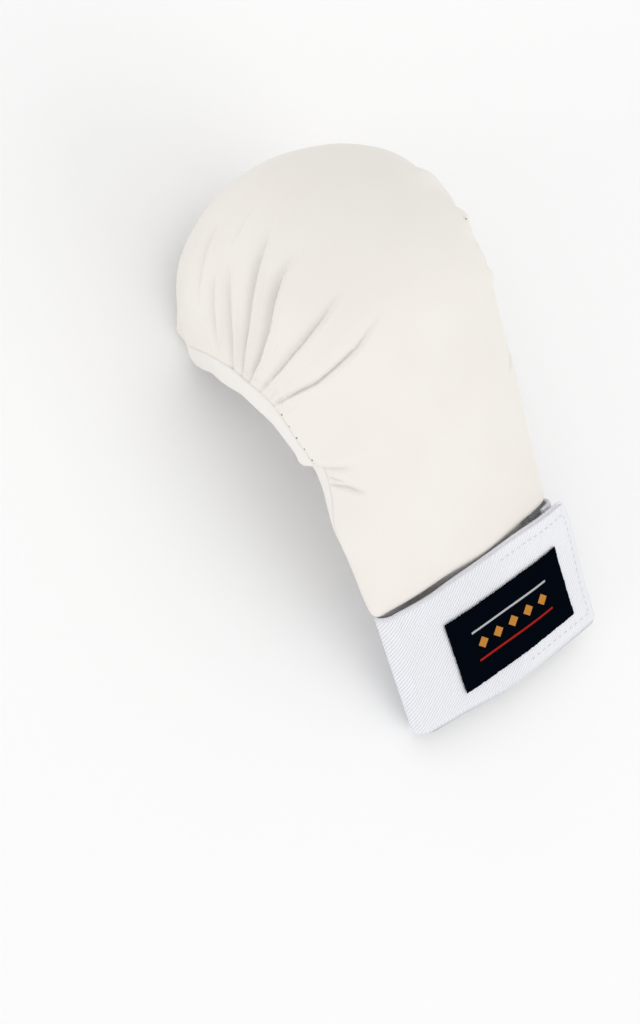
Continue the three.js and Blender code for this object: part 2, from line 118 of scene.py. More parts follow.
# Pleats of the gathered cover: depth, width on the fist side and on the wrist side, how strongly the line
# shows as a painted dark line with a painted highlight beside it, and its places, by the section's turn in
# degrees and the height over the lip's widest point in mm
LEFT_PLEATS = [
    (1.2, 2.4, 0.8, 0.95,
     [(25.2, 4), (24.8, 18), (24.4, 28), (25.6, 38), (27, 48), (30.2, 59), (32.5, 68)]),
    (1.4, 3.0, 0.9, 0.75, [(35.9, 4), (35.9, 20), (37.3, 37), (39, 49), (41.1, 59), (43, 68)]),
    (2.4, 3.5, 1.3, 0.45,
     [(45.2, 4), (46.2, 21), (48.9, 35), (52.3, 46), (54.3, 55), (55.1, 63), (56.3, 73)]),
    (2.6, 3.2, 1.3, 0.4, [(50, 4), (53.4, 21), (55.5, 33), (59, 47), (61.2, 56), (63, 66), (65, 77)]),
    (2.9, 5.2, 1.5, 0.2, [(56, 4), (60.2, 23), (63.5, 35), (67.3, 46), (69.5, 55)]),
    (2.5, 4.4, 1.7, 0, [(66, 10), (69.5, 28), (71.6, 40), (72.6, 48)]),
    (2.1, 4.2, 2.0, 0, [(76.4, 28), (77, 40), (77.9, 54), (78.6, 64)]),
    (0.5, 1.8, 1.2, 0, [(69.8, 56), (70.6, 66), (70.2, 76)]),
    (0.7, 1.6, 0.9, 0.25, [(4.9, 4.5), (4.5, 9.8), (4.2, 16)]),
    (0.6, 1.0, 0.7, 0.3, [(3.9, 3.9), (3.4, 6.5), (2.9, 11)]),
    (1.0, 1.6, 0.8, 0.4, [(3.0, 4.0), (2.6, 9.8), (2.1, 14), (1.9, 18)]),
]
RIGHT_PLEATS = [
    (1.4, 4.2, 2.0, 0, [(22, 4), (24, 18), (26.5, 30), (29, 42)]),
    (1.8, 4.6, 1.5, 0, [(32, 4), (34, 18), (37, 32), (41, 46)]),
    (2.4, 4.4, 2.4, 0, [(41, 4), (43, 18), (45.5, 34), (47.5, 48), (49, 55)]),
    (2.3, 3.8, 2.4, 0, [(50, 4), (53, 19), (56, 38), (59, 55), (61, 63)]),
    (1.5, 3.2, 1.4, 0, [(58, 4), (61.5, 22), (65, 37), (68, 47)]),
    (1.0, 2.6, 1.5, 0, [(68, 12), (70.5, 26), (73, 40)]),
    (0.6, 1.8, 0.8, 0, [(5.5, 3), (4.4, 13), (3.2, 21)]),
]
# Puffs of the cover on the right: turn, height over the lip, how far out, and the reach in degrees and mm
RIGHT_PUFFS = [
    (66, 66, 1.3, 6, 13),
    (57.2, 51, 2.2, 2.4, 12),
    (52.5, 55, -0.9, 4.6, 13),
    (42.5, 46, 0.4, 4.0, 11),
    (41, 34, -0.8, 3.2, 8),
    (35.6, 35, -2.0, 3.8, 12),
    (32.3, 26, -1.4, 3.2, 9),
    (24, 32, 0.6, 3.0, 10),
    (21, 23, -0.7, 2.6, 8),
]

# Rows of stitches: their pitch, a stitch's length, the thread's radius, and how far it stands up, in mm
STITCHES = {
    "seam_knot": (1.6, 1.5, 0.42, 0.3),
    "tongue_stitches": (3.4, 2.7, 0.24, 0.12),
    "rim_stitches": (4.4, 3.4, 0.26, 0.12),
    "wrist_stitches": (4.2, 3.4, 0.42, 0.3),
    "finger_stitches": (3.4, 2.7, 0.24, 0.15),
    "wing_skin_left_stitches": (3.2, 2.5, 0.24, 0.12),
    "wing_skin_right_stitches": (3.2, 2.5, 0.24, 0.12),
    "tab_stitches": (3.0, 2.3, 0.2, 0.08),
}
# Rows of needle holes: their pitch and a hole's radius, in mm
HOLES = {"seam_holes": (4.6, 0.36), "seam_knot_hole": (0.6, 0.45)}

rng = np.random.default_rng(SEED)


# Numbers and lines
def smooth(t):
    """A step from 0 to 1 with soft ends, while t goes from 0 to 1."""
    t = np.clip(t, 0, 1)
    return t * t * (3 - 2 * t)


def bump(value, middle, wide):
    """A rounded hump: 1 where the value is at the middle, and hardly anything from twice the width away."""
    return np.exp(-(((value - middle) / wide) ** 2))


def xyz(x, y, z):
    return np.stack(np.broadcast_arrays(x, y, z), axis=-1)


def unit(vectors):
    return vectors / np.maximum(np.linalg.norm(vectors, axis=-1, keepdims=True), TINY)


def steps_of(points, axis=0):
    return np.linalg.norm(np.diff(points, axis=axis), axis=-1)


def add_up(steps):
    return np.concatenate([[0], np.cumsum(steps)])


def line_lengths(line):
    """The distance along a line of points at each of them."""
    return add_up(steps_of(line))


def at_length(line, run, where):
    """A line's values at other distances along it."""
    return np.stack([np.interp(where, run, line[:, k]) for k in range(line.shape[1])], axis=-1)


def normals_of(grid):
    """Unit normals of a grid of points, on the side from which its rows and columns turn anticlockwise."""
    return unit(np.cross(np.gradient(grid, axis=0), np.gradient(grid, axis=1)))


def soft_noise(points, scale, seed, waves=14, level=5.3):
    """Smooth noise from a few turned waves, about -1 to 1."""
    draw = np.random.default_rng(seed)
    total = np.zeros(points.shape[:-1])
    for _ in range(waves):
        direction = draw.normal(size=3)
        direction /= np.linalg.norm(direction)
        wave = draw.uniform(0.6, 1.6) / scale
        total += np.sin(points @ direction * wave * 2 * math.pi + draw.uniform(0, 2 * math.pi))
    return total / level


# The pad's sections
def column(name, along):
    """A column of the sections' table at places between its rows, on a smooth curve through them."""
    places, values = SECTIONS[:, 0], SECTIONS[:, COLUMNS.index(name)]
    last = len(places) - 1
    along = np.asarray(along, float)
    i = np.clip(np.searchsorted(places, along, side="left") - 1, 0, last - 1)
    before = np.maximum(np.arange(last + 1) - 1, 0)
    after = np.minimum(np.arange(last + 1) + 1, last)
    slope = (values[after] - values[before]) / (places[after] - places[before])
    span = places[i + 1] - places[i]
    t = np.clip((along - places[i]) / span, 0, 1)
    return (
        values[i] * (2 * t ** 3 - 3 * t ** 2 + 1)
        + slope[i] * span * (t ** 3 - 2 * t ** 2 + t)
        + values[i + 1] * (3 * t ** 2 - 2 * t ** 3)
        + slope[i + 1] * span * (t ** 3 - t ** 2)
    )


def sections(along):
    """The sections at several places along the pad, each value as a column."""
    return Sizes(**{name: column(name, along)[:, None] for name in COLUMNS[1:]})


def stand(section, across, height):
    """Points of sections, given by their distance across and their height above the lip's line."""
    lean = np.radians(section.turn)
    y, z = section.y + height * np.sin(lean), section.z + height * np.cos(lean)
    return xyz(across + section.shift, y, z)


def draw_in(points):
    """Points with the pad's left side drawn in beside the wing's corner, and its lip shifted."""
    x, y = points[..., 0], points[..., 1]
    fist = smooth((TUCK.from_y - y) / TUCK.fist_length)
    wrist = smooth((y - TUCK.to_y) / TUCK.wrist_length)
    side = smooth((TUCK.from_x - x) / TUCK.side_length)
    moved = points.copy()
    moved[..., 0] += TUCK.by * fist * wrist * side
    for middle, reach, shift in LIP_SHIFTS:
        off = np.sum((points - middle) ** 2, axis=-1) / reach ** 2
        moved += np.exp(-off)[..., None] * shift
    return moved


def half_girth(section):
    """The right half of each section's outline: from the crown down the flank, round the lip and along the
    hand's side to the middle. Also the distance along it, and that distance where the lip is widest."""
    half, outer, inner, square = section.half, section.outer, section.inner, section.square
    r = LIP_RADIUS
    turn = np.linspace(math.pi / 2, 0, FLANK_POINTS)[None]
    wide = half + section.belly * np.sin(2 * turn) ** 2
    parts = [(wide * np.maximum(np.cos(turn), 0) ** (2 / square), outer * np.sin(turn) ** (2 / square))]
    arc = np.linspace(0, math.pi / 2, LIP_POINTS)[None, 1:]
    parts.append((half - r + r * np.cos(arc), -r * np.sin(arc)))
    i = np.arange(1, FACE_POINTS + 1)[None]
    flat_x = (half - r) * (1 - i / FACE_POINTS)
    flat_n = -r + (inner + r) * (1 - (flat_x / (half - r)) ** 2)
    lip = (math.pi / 2) * (1 + i / CUP_LIP_POINTS)
    arch = (math.pi / 2) * np.clip((i - CUP_LIP_POINTS) / (FACE_POINTS - CUP_LIP_POINTS), 0, 1)
    arch_x = (half - 2 * r) * np.maximum(np.cos(arch), 0) ** CUP_POWER
    cup_x = np.where(i <= CUP_LIP_POINTS, half - r + r * np.cos(lip), arch_x)
    cup_n = np.where(i <= CUP_LIP_POINTS, -r * np.sin(lip), inner * np.sin(arch) ** CUP_POWER)
    parts.append((flat_x + (cup_x - flat_x) * section.cup, flat_n + (cup_n - flat_n) * section.cup))
    x, n = (
        np.concatenate([np.broadcast_to(part[k], (len(half), part[0].shape[1])) for part in parts], axis=1)
        for k in (0, 1)
    )
    steps = np.hypot(np.diff(x, axis=1), np.diff(n, axis=1))
    run = np.concatenate([np.zeros((len(x), 1)), np.cumsum(steps, axis=1)], axis=1)
    return x, n, run, run[:, FLANK_POINTS - 1][:, None]


def along_girth(x, n, run, wanted, side):
    """Points of the sections at wanted distances along their half outlines. side is -1 or 1."""
    found_x, found_n = (
        np.array([np.interp(w, r, line) for w, r, line in zip(wanted, run, lines)]) for lines in (x, n)
    )
    return found_x * side, found_n


def seam_height(section):
    return np.interp(section.turn, SEAM_TURNS, SEAM_HEIGHTS)


def outer_lines(section, count):
    """The sections' outsides from the left seam to the right, and each point's height over the lip."""
    x, n, run, widest = half_girth(section)
    across = np.linspace(-1, 1, count)[None]
    wanted = np.abs(across) * (widest - seam_height(section))
    found_x, found_n = along_girth(x, n, run, wanted, np.sign(across))
    return found_x, found_n, widest - wanted


def inner_lines(section, gap, count, crowd=1.0):
    """The hand's side of the sections from the left seam to the right, and each point's distance from the
    seam. Points lie closer together beside the seams where crowd is over 1."""
    x, n, run, widest = half_girth(section)
    seam = widest - seam_height(section) + gap
    across = np.linspace(-1, 1, count)[None]
    from_seam = (1 - np.abs(across)) ** crowd * (run[:, -1:] - seam)
    found_x, found_n = along_girth(x, n, run, seam + from_seam, np.sign(across))
    return found_x, found_n, from_seam


def stations(first, last, count, fine_count=1200, crown_share=0.6):
    """Places along the pad, closer together where its lip and its crown run further between sections."""
    fine = np.linspace(first, last, fine_count)
    section = sections(fine)
    lip = stand(section, section.half, 0)[:, 0]
    crown = stand(section, 0, section.outer)[:, 0]
    run = add_up(steps_of(lip) + crown_share * steps_of(crown))
    return np.interp(np.linspace(0, run[-1], count), run, fine)


# From the hand's frame to the row's
def tilt_matrix():
    c, s = math.cos(REST_TILT), math.sin(REST_TILT)
    return np.array([[1, 0, 0], [0, c, -s], [0, s, c]])


TILT = tilt_matrix()


def band_face(x, y):
    """Height of the wrist band's outer face on the back of the hand."""
    crown = BAND.crown + (BAND.end_crown - BAND.crown) * -y / BAND.height
    return crown - BAND.arch * ((x - BAND.crown_at) / BAND.arch_reach) ** 2


def find_origin():
    """Where the hand's frame lies in the row's frame, in mm, from the label's box in the CAD model."""
    left = LABEL.across - LABEL.width / 2
    x = np.linspace(left, left + LABEL.width, 7)[None]
    y = np.array([[-LABEL.below], [-LABEL.below - LABEL.height]])
    turned = xyz(x, y, band_face(x, y) + PATCH_GAP + LABEL.thick).reshape(-1, 3) @ TILT.T
    low, high = (np.array(corner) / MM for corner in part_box("label"))
    return np.array([
        (low[0] + high[0] - turned[:, 0].min() - turned[:, 0].max()) / 2,
        low[1] - turned[:, 1].min(),
        high[2] - turned[:, 2].max(),
    ])


ORIGIN = find_origin()


def place(points):
    """Points of the hand's frame in mm, in the row's frame in metres."""
    return (np.asarray(points, float) @ TILT.T + ORIGIN) * MM


# Materials
COVER_LIGHT, COVER_SHADED = (0.86, 0.825, 0.775, 1), (0.84, 0.8, 0.745, 1)
LINER_LIGHT, LINER_SHADED = (0.86, 0.835, 0.805, 1), (0.835, 0.808, 0.775, 1)
# Painted shade for the leather's folds and grooves
FOLD_PAINTED_SHADE = (0.6, 0.57, 0.565, 1)
# Painted highlight and painted dark line of the pleats
CREASE_PAINTED_HIGHLIGHT = (0.93, 0.91, 0.88, 1)
CREASE_LINE_PAINTED_SHADE = (0.42, 0.38, 0.37, 1)
YARN = (0.905, 0.912, 0.948, 1)
# Painted shade between the ribs of the three elastics
TWILL_PAINTED_SHADE = (0.67, 0.68, 0.75, 1)
BOLD_TWILL_PAINTED_SHADE = (0.42, 0.45, 0.54, 1)
HERRINGBONE_PAINTED_SHADE = (0.62, 0.64, 0.71, 1)
LABEL_GROUND, LABEL_SHINE = (0.0006, 0.001, 0.0022, 1), (0.0022, 0.0042, 0.0085, 1)
GOLD_INK = (0.62, 0.27, 0.05, 1)
WHITE_INK = (0.55, 0.56, 0.58, 1)
RED_INK = (0.42, 0.02, 0.012, 1)
HOOK_LIGHT, HOOK_DARK = (0.84, 0.85, 0.88, 1), (0.5, 0.51, 0.55, 1)
FLOOR_DARK, FLOOR_LIGHT = (0.98, 0.98, 0.98, 1), (0.988, 0.988, 0.988, 1)

# The elastic's threads in mm: the length of a float in a rib, and the pitch of the edge's plain cords
FLOAT_LENGTH, CORD_PITCH = 0.62, 0.7
# The label's threads, and its two lines and five diamonds, in mm
PICK_PITCH, WARP_PITCH = 0.32, 0.42
LABEL_RULES = Sizes(reach=20.0, rule_at=6.2, rule_thick=0.9, spacing=8.0, diamond=2.6, row_half=20.0)


class Surface:
    """A material's nodes, with short calls that make and link them. Noises and cells are given by how many
    there are in a metre, and reliefs by their depth in metres."""

    def __init__(self, name, **inputs):
        self.material = bpy.data.materials.new(name)
        self.material.use_nodes = True
        self.tree = self.material.node_tree
        self.shader = self.tree.nodes["Principled BSDF"]
        self.fill(self.shader, inputs)

    def set(self, socket, value):
        if isinstance(value, bpy.types.NodeSocket):
            self.tree.links.new(value, socket)
        else:
            socket.default_value = value

    def fill(self, node, inputs):
        for key, value in inputs.items():
            self.set(node.inputs[key.replace("_", " ")], value)

    def add(self, kind, settings=(), **inputs):
        node = self.tree.nodes.new("ShaderNode" + kind)
        for key, value in dict(settings).items():
            setattr(node, key, value)
        self.fill(node, inputs)
        return node

    def maths(self, operation, *values, clamp=False):
        node = self.add("Math", dict(operation=operation, use_clamp=clamp))
        for socket, value in zip(node.inputs, values):
            self.set(socket, value)
        return node.outputs[0]

    def times(self, value, by, clamp=False):
        return self.maths("MULTIPLY", value, by, clamp=clamp)

    def plus(self, value, more, clamp=False):
        return self.maths("ADD", value, more, clamp=clamp)

    def minus(self, value, less):
        return self.maths("SUBTRACT", value, less)

    def size(self, value):
        return self.maths("ABSOLUTE", value)

    def below(self, value, limit):
        return self.maths("LESS_THAN", value, limit)

    def humps(self, value, pitch=1.0):
        """A row of rounded humps along a value: 1 on top of each, and 0 between them."""
        return self.size(self.maths("SINE", self.times(value, math.pi / pitch)))

    def where(self):
        return self.add("TexCoord").outputs["Object"]

    def flat(self):
        """The piece's own flat coordinates in mm, along it and across it."""
        node = self.add("UVMap", dict(uv_map="flat"))
        parts = self.add("SeparateXYZ", Vector=node.outputs["UV"])
        return parts.outputs["X"], parts.outputs["Y"]

    def attribute(self, name):
        return self.add("Attribute", dict(attribute_name=name)).outputs["Fac"]

    def noise(self, where, scale, detail=3.0, roughness=0.55):
        node = self.add("TexNoise", Vector=where, Scale=scale, Detail=detail, Roughness=roughness)
        return node.outputs["Fac"]

    def cells(self, where, scale):
        return self.add("TexVoronoi", Vector=where, Scale=scale).outputs["Distance"]

    def span(self, value, low, high, to_low=0.0, to_high=1.0):
        """The value's place between low and high, as a place between two others and never past them."""
        node = self.add("MapRange", Value=value, From_Min=low, From_Max=high, To_Min=to_low, To_Max=to_high)
        return node.outputs["Result"]

    def mix(self, share, first, second):
        node = self.add("Mix", dict(data_type="RGBA"))
        self.set(node.inputs["Factor"], share)
        colours = [s for s in node.inputs if s.type == "RGBA"]
        self.set(colours[0], first)
        self.set(colours[1], second)
        return [s for s in node.outputs if s.type == "RGBA"][0]

    def relief(self, height, depth, strength=1.0, **under):
        """Normals of a fine relief. Normal=... gives those of the relief under it."""
        return self.add("Bump", Height=height, Distance=depth, Strength=strength, **under).outputs["Normal"]

    def finish(self, **inputs):
        self.fill(self.shader, inputs)
        return self.material


def leather(name, light, shaded, grain):
    """Soft synthetic leather with a fine grain and a roughness that varies in patches. Folds get painted
    shade, and pleat lines a painted dark line with a painted highlight beside them on the wrist side.
    """
    s = Surface(name, Roughness=0.48)
    where = s.where()
    patches, gloss = s.noise(where, 22.0, 2.0), s.noise(where, 45.0, 2.0)
    creasing, cracks = s.noise(where, 160.0, 3.0, 0.6), s.noise(where, 900.0, 4.0, 0.62)
    pores = s.cells(where, 2100.0)
    colour = s.mix(s.span(patches, 0.3, 0.7), light, shaded)
    # Painted shade in folds and grooves, where the mesh's fold attribute is set
    colour = s.mix(s.times(s.attribute("fold"), 0.6, clamp=True), colour, FOLD_PAINTED_SHADE)
    # Each pleat's line gets a painted dark line, and a painted highlight just beside it on the wrist side
    crisp, across = s.attribute("crisp"), s.attribute("across")
    line = s.times(crisp, s.span(s.size(across), 0.1, 0.6, 1, 0))
    beside = s.span(s.size(s.minus(across, 1.0)), 0.1, 0.7, 0.35, 0)
    colour = s.mix(s.times(crisp, beside), colour, CREASE_PAINTED_HIGHLIGHT)
    colour = s.mix(s.times(line, 0.55), colour, CREASE_LINE_PAINTED_SHADE)
    normal = s.relief(creasing, 0.0005, 0.22)
    normal = s.relief(cracks, 0.00014, grain, Normal=normal)
    normal = s.relief(pores, 0.0001, grain * 0.8, Normal=normal)
    return s.finish(Base_Color=colour, Roughness=s.span(gloss, 0.3, 0.7, 0.42, 0.54), Normal=normal)


def ribs_of(s, along, across, angle, pitch):
    """The height of twill ribs at an angle, and that of the short floats of thread that make each rib."""
    c, d = math.cos(math.radians(angle)), math.sin(math.radians(angle))
    over = s.plus(s.times(along, -d / pitch), s.times(across, c / pitch))
    down = s.plus(s.times(along, c / FLOAT_LENGTH), s.times(across, d / FLOAT_LENGTH))
    step = s.times(s.maths("FLOOR", over), 0.5)
    return s.maths("POWER", s.humps(over), 0.7), s.maths("POWER", s.humps(s.plus(down, step)), 0.6)


def elastic(name, angle, pitch, valley, depth, zigzag=None):
    """Woven elastic: twill ribs or a herringbone of them, with plainly woven edges. Its colour goes toward
    a painted shade between the ribs and the cords, less so where calm is set.
    """
    s = Surface(name, Roughness=0.82, Sheen_Weight=0.12, Sheen_Roughness=0.5)
    along, across = s.flat()
    wander = s.times(s.minus(s.noise(s.where(), 60.0, 2.0), 0.5), 0.5)
    turned = s.plus(across, wander)
    if zigzag:
        turned = s.maths("PINGPONG", turned, zigzag)
    ribs, floats = ribs_of(s, along, turned, angle, pitch)
    height = s.plus(s.times(ribs, 0.84), s.times(floats, 0.16))
    shown = s.mix(s.attribute("edge"), height, s.humps(along, CORD_PITCH))
    contrast = s.span(s.attribute("calm"), 0, 1, 1, 0.35)
    tone = s.minus(1.0, s.times(s.minus(1.0, shown), contrast))
    speckle = s.times(s.minus(s.noise(s.where(), 950.0, 2.0), 0.5), 0.35)
    colour = s.mix(s.plus(tone, speckle, clamp=True), valley, YARN)
    fuzz = s.relief(s.noise(s.where(), 1500.0, 3.0), 0.00012, 0.4)
    return s.finish(Base_Color=colour, Normal=s.relief(shown, depth, 0.9, Normal=fuzz))


def label_cloth():
    """Black woven patch with a row of five small gold diamonds between a white and a red line."""
    s = Surface("label_weave", Roughness=0.9, Specular_IOR_Level=0.0)
    along, across = s.flat()
    x, y = s.minus(along, LABEL.width / 2), s.minus(across, LABEL.height / 2)
    size_x, size_y = s.size(x), s.size(y)
    pick, warp = s.humps(across, PICK_PITCH), s.humps(along, WARP_PITCH)
    weave = s.times(pick, s.span(warp, 0, 1, 0.6, 1))
    spacing = LABEL_RULES.spacing
    off_centre = s.maths("PINGPONG", x, spacing / 2)
    diamond = s.below(s.plus(off_centre, size_y), LABEL_RULES.diamond)
    inks = [(s.times(diamond, s.below(size_x, LABEL_RULES.row_half)), GOLD_INK)]
    for middle, ink in ((-LABEL_RULES.rule_at, WHITE_INK), (LABEL_RULES.rule_at, RED_INK)):
        near = s.below(s.size(s.minus(y, middle)), LABEL_RULES.rule_thick / 2)
        inks.append((s.times(near, s.below(size_x, LABEL_RULES.reach)), ink))
    # The tops of the threads get a painted sheen over the black ground, and the inks fade to the ground
    # between picks
    colour = s.mix(weave, LABEL_GROUND, LABEL_SHINE)
    for shape, ink in inks:
        colour = s.mix(s.times(shape, s.span(pick, 0, 1, 0.7, 1)), colour, ink)
    raised = s.maths("MAXIMUM", inks[0][0], s.maths("MAXIMUM", inks[1][0], inks[2][0]))
    height = s.plus(s.times(weave, 0.5), s.times(raised, 0.5))
    return s.finish(Base_Color=colour, Normal=s.relief(height, 0.00022, 0.8))


def thread(name, colour):
    """Twisted thread, with painted shade where the relief of its twist is low."""
    s = Surface(name, Roughness=0.6)
    twist = s.noise(s.where(), 1800.0, 2.0)
    darker = tuple(0.82 * c for c in colour[:3]) + (1,)
    shown = s.mix(s.span(twist, 0.3, 0.7), darker, colour)
    return s.finish(Base_Color=shown, Normal=s.relief(twist, 0.0001, 0.6))


def grip_cloth():
    """The small hooks of a grip patch."""
    s = Surface("grip_tape", Roughness=0.9)
    hooks = s.cells(s.where(), 900.0)
    colour = s.mix(s.span(hooks, 0, 0.7), HOOK_LIGHT, HOOK_DARK)
    return s.finish(Base_Color=colour, Normal=s.relief(hooks, 0.0006))


def floor_paint():
    s = Surface("studio_floor", Roughness=0.9)
    return s.finish(Base_Color=s.mix(s.noise(s.where(), 3.0, 2.0), FLOOR_DARK, FLOOR_LIGHT))


COVER = leather("cover_leather", COVER_LIGHT, COVER_SHADED, 0.3)
LINER = leather("lining_leather", LINER_LIGHT, LINER_SHADED, 0.18)
TWILL = elastic("elastic_twill", -40.0, 1.14, TWILL_PAINTED_SHADE, 0.00027)
BOLD_TWILL = elastic("elastic_bold_twill", 52.0, 1.2, BOLD_TWILL_PAINTED_SHADE, 0.00045)
HERRINGBONE = elastic("elastic_herringbone", 45.0, 0.9, HERRINGBONE_PAINTED_SHADE, 0.00028, zigzag=4.2)
WOVEN_LABEL = label_cloth()
WHITE_THREAD = thread("white_thread", (0.84, 0.83, 0.8, 1))
TAB_THREAD = thread("tab_thread", (0.8, 0.81, 0.85, 1))
# Needle holes are painted dark for the shade inside them
NEEDLE_HOLE_PAINTED_SHADE = thread("needle_hole_painted_shade", (0.2, 0.17, 0.15, 1))
GRIP_TAPE = grip_cloth()


# Meshes
def make_piece(name, points, faces, material, uv=None, attributes=None):
    """A mesh from points of the hand's frame. uv and the attributes hold a value for each point."""
    mesh = bpy.data.meshes.new(name)
    mesh.from_pydata(place(points).tolist(), [], faces)
    mesh.validate()
    mesh.update()
    if uv is not None:
        layer = mesh.uv_layers.new(name="flat")
        corner = np.empty(len(mesh.loops), int)
        mesh.loops.foreach_get("vertex_index", corner)
        layer.data.foreach_set("uv", np.asarray(uv, float)[corner].reshape(-1))
    for key, values in (attributes or {}).items():
        mesh.attributes.new(key, "FLOAT", "POINT").data.foreach_set("value", np.asarray(values, float))
    mesh.shade_smooth()
    piece = new_object(name, mesh)
    mesh.materials.append(material)
    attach(piece, "root")
    return piece


def new_object(name, data):
    made = bpy.data.objects.new(name, data)
    bpy.context.scene.collection.objects.link(made)
    return made


def grid_faces(rows, cols, first=0, closed=False, flip=False):
    """The faces of a grid of points. In a closed grid the last column joins the first."""
    i, j = np.meshgrid(np.arange(rows - 1), np.arange(cols if closed else cols - 1), indexing="ij")
    k = (j + 1) % cols
    quads = np.stack([i * cols + j, (i + 1) * cols + j, (i + 1) * cols + k, i * cols + k], axis=-1)
    quads = quads.reshape(-1, 4) + first
    return quads[:, ::-1] if flip else quads


def grid_flat(grid):
    """Flat coordinates in mm for a grid of points: along its rows' points, and across its rows."""
    along, across = add_up(steps_of(grid, 1).mean(axis=0)), add_up(steps_of(grid, 0).mean(axis=1))
    return np.stack(np.meshgrid(along, across), axis=-1)


def from_ends(flat):
    """Each point's distance from the nearer end of a flat grid."""
    return np.minimum(flat, flat.max() - flat)


def shell(name, grid, thick, material, rim=0.4, plain=0.0, rise=0.0, attributes=None, normal=None):
    """A closed sheet behind a grid of points. Its rounded edges stand out by rim of its thickness, they are
    plainly woven over the width plain, and rise lifts its front in relief."""
    rows, cols = grid.shape[:2]
    normal = normals_of(grid) if normal is None else normal
    front = grid + normal * np.broadcast_to(rise, (rows, cols))[..., None]
    back = grid - normal * thick
    flat = grid_flat(grid)
    ring = [(0, j) for j in range(cols)] + [(i, cols - 1) for i in range(1, rows)]
    ring += [(rows - 1, j) for j in range(cols - 2, -1, -1)] + [(i, 0) for i in range(rows - 2, 0, -1)]
    i, j = np.array(ring).T
    index = i * cols + j
    edge, level = grid[i, j], normal[i, j]
    outward = unit(np.cross(np.roll(edge, -1, axis=0) - np.roll(edge, 1, axis=0), level))
    inside = grid[np.clip(i, 1, rows - 2), np.clip(j, 1, cols - 2)]
    if np.mean(np.sum(outward * (edge - inside), axis=1)) < 0:
        outward = -outward
    middle = edge - level * thick / 2 + outward * rim * thick
    count = rows * cols
    here = 2 * count + np.arange(len(ring))
    after, next_index = np.roll(here, -1), np.roll(index, -1)
    faces = np.concatenate([
        grid_faces(rows, cols),
        grid_faces(rows, cols, first=count, flip=True),
        np.stack([index, next_index, after, here], axis=-1),
        np.stack([here, after, count + next_index, count + index], axis=-1),
    ])
    values = dict(attributes or {})
    if plain:
        values["edge"] = 1 - smooth((from_ends(flat[..., 1]) - plain * 0.8) / (plain * 0.4))

    def all_points(value):
        line = value.reshape((count,) + value.shape[2:])
        return np.concatenate([line, line, value[i, j]])

    points = np.concatenate([front.reshape(-1, 3), back.reshape(-1, 3), middle])
    values = {key: all_points(value) for key, value in values.items()}
    return make_piece(name, points, faces.tolist(), material, all_points(flat), values)


# A stitch's thread: its sides and points, how uneven its place and length are, the distance over which its
# direction is taken, and how much it thins and dips at its ends
STITCH = Sizes(sides=6, steps=6, stray=0.06, uneven=0.05, look=0.2, thinning=0.55, dip=1.2)
# A needle hole's lens: its sides, how uneven its size is, and how far it stands out and goes in
HOLE = Sizes(sides=8, uneven=0.15, out=0.14, deep=0.3)


def sew(name, rows, material=WHITE_THREAD):
    """Rows of stitches, each on a line of points and their normals. A stitch's thread dips at its ends."""
    pitch, length, radius, raised = STITCHES[name]
    sides, steps = STITCH.sides, STITCH.steps
    points, faces = [], []
    for line, normal in rows:
        run = line_lengths(line)
        count = max(1, int(run[-1] / pitch))
        for k in range(count):
            centre = (k + 0.5) * run[-1] / count + rng.normal(0, STITCH.stray)
            first = len(points)
            reach = length * (1 + rng.normal(0, STITCH.uneven)) / 2
            for share in np.linspace(-1, 1, steps):
                at = centre + share * reach
                p, up = at_length(line, run, at), unit(at_length(normal, run, at))
                ahead = at_length(line, run, at + STITCH.look) - at_length(line, run, at - STITCH.look)
                side = np.cross(unit(ahead), up)
                wide = radius * (1 - STITCH.thinning * abs(share) ** 3)
                high = raised - (raised + STITCH.dip * radius) * abs(share) ** 2.4
                for a in np.arange(sides) * 2 * math.pi / sides:
                    points.append(p + up * (high + wide * math.sin(a)) + side * wide * math.cos(a))
            for i in range(steps - 1):
                a, b = first + i * sides, first + (i + 1) * sides
                for j in range(sides):
                    m = (j + 1) % sides
                    faces.append((a + j, b + j, b + m, a + m))
            faces.append(tuple(first + j for j in range(sides)))
            faces.append(tuple(first + (steps - 1) * sides + j for j in reversed(range(sides))))
    return make_piece(name, np.array(points), faces, material)


def pierce(name, rows):
    """Rows of needle holes between stitches, as small lenses in the surface, painted dark for the shade
    inside the holes.
    """
    pitch, radius = HOLES[name]
    sides = HOLE.sides
    points, faces = [], []
    for line, normal in rows:
        run = line_lengths(line)
        count = max(1, int(run[-1] / pitch))
        for k in range(1, count):
            at = k * run[-1] / count
            p, up = at_length(line, run, at), unit(at_length(normal, run, at))
            side = unit(np.cross(up, [0.31, 0.77, 0.56]))
            other = np.cross(up, side)
            first = len(points)
            wide = radius * (1 + rng.normal(0, HOLE.uneven))
            for a in np.arange(sides) * 2 * math.pi / sides:
                points.append(p + side * wide * math.cos(a) + other * wide * math.sin(a))
            points += [p + up * HOLE.out, p - up * HOLE.deep]
            for j in range(sides):
                m = (j + 1) % sides
                faces += [(first + j, first + m, first + sides), (first + m, first + j, first + sides + 1)]
    return make_piece(name, np.array(points), faces, NEEDLE_HOLE_PAINTED_SHADE)


# The pad
OUTER_COUNT = 141
PAD_STATIONS = 460
INNER_COUNT = 61
# Every pleat: its points, its depth, the groove's share of that, and its reach and its ridge's place in
# widths. It widens, deepens and fades by shares of its length, and from the seam it is deep at once.
PLEAT = Sizes(points=70, depth=1.3, groove=0.35, reach=3.2, ridge=0.3, fist_ridge=0.05, ridge_at=2.0,
              narrow=0.4, widens_to=0.5, deepens_to=0.3, fades_from=0.58, seam_height=8, at_seam=0.6)
# Small puckers between the pleats, by the section's turn
PUCKERS = Sizes(first=20, last=74, apart=2.2, wide=(1.2, 0.9))
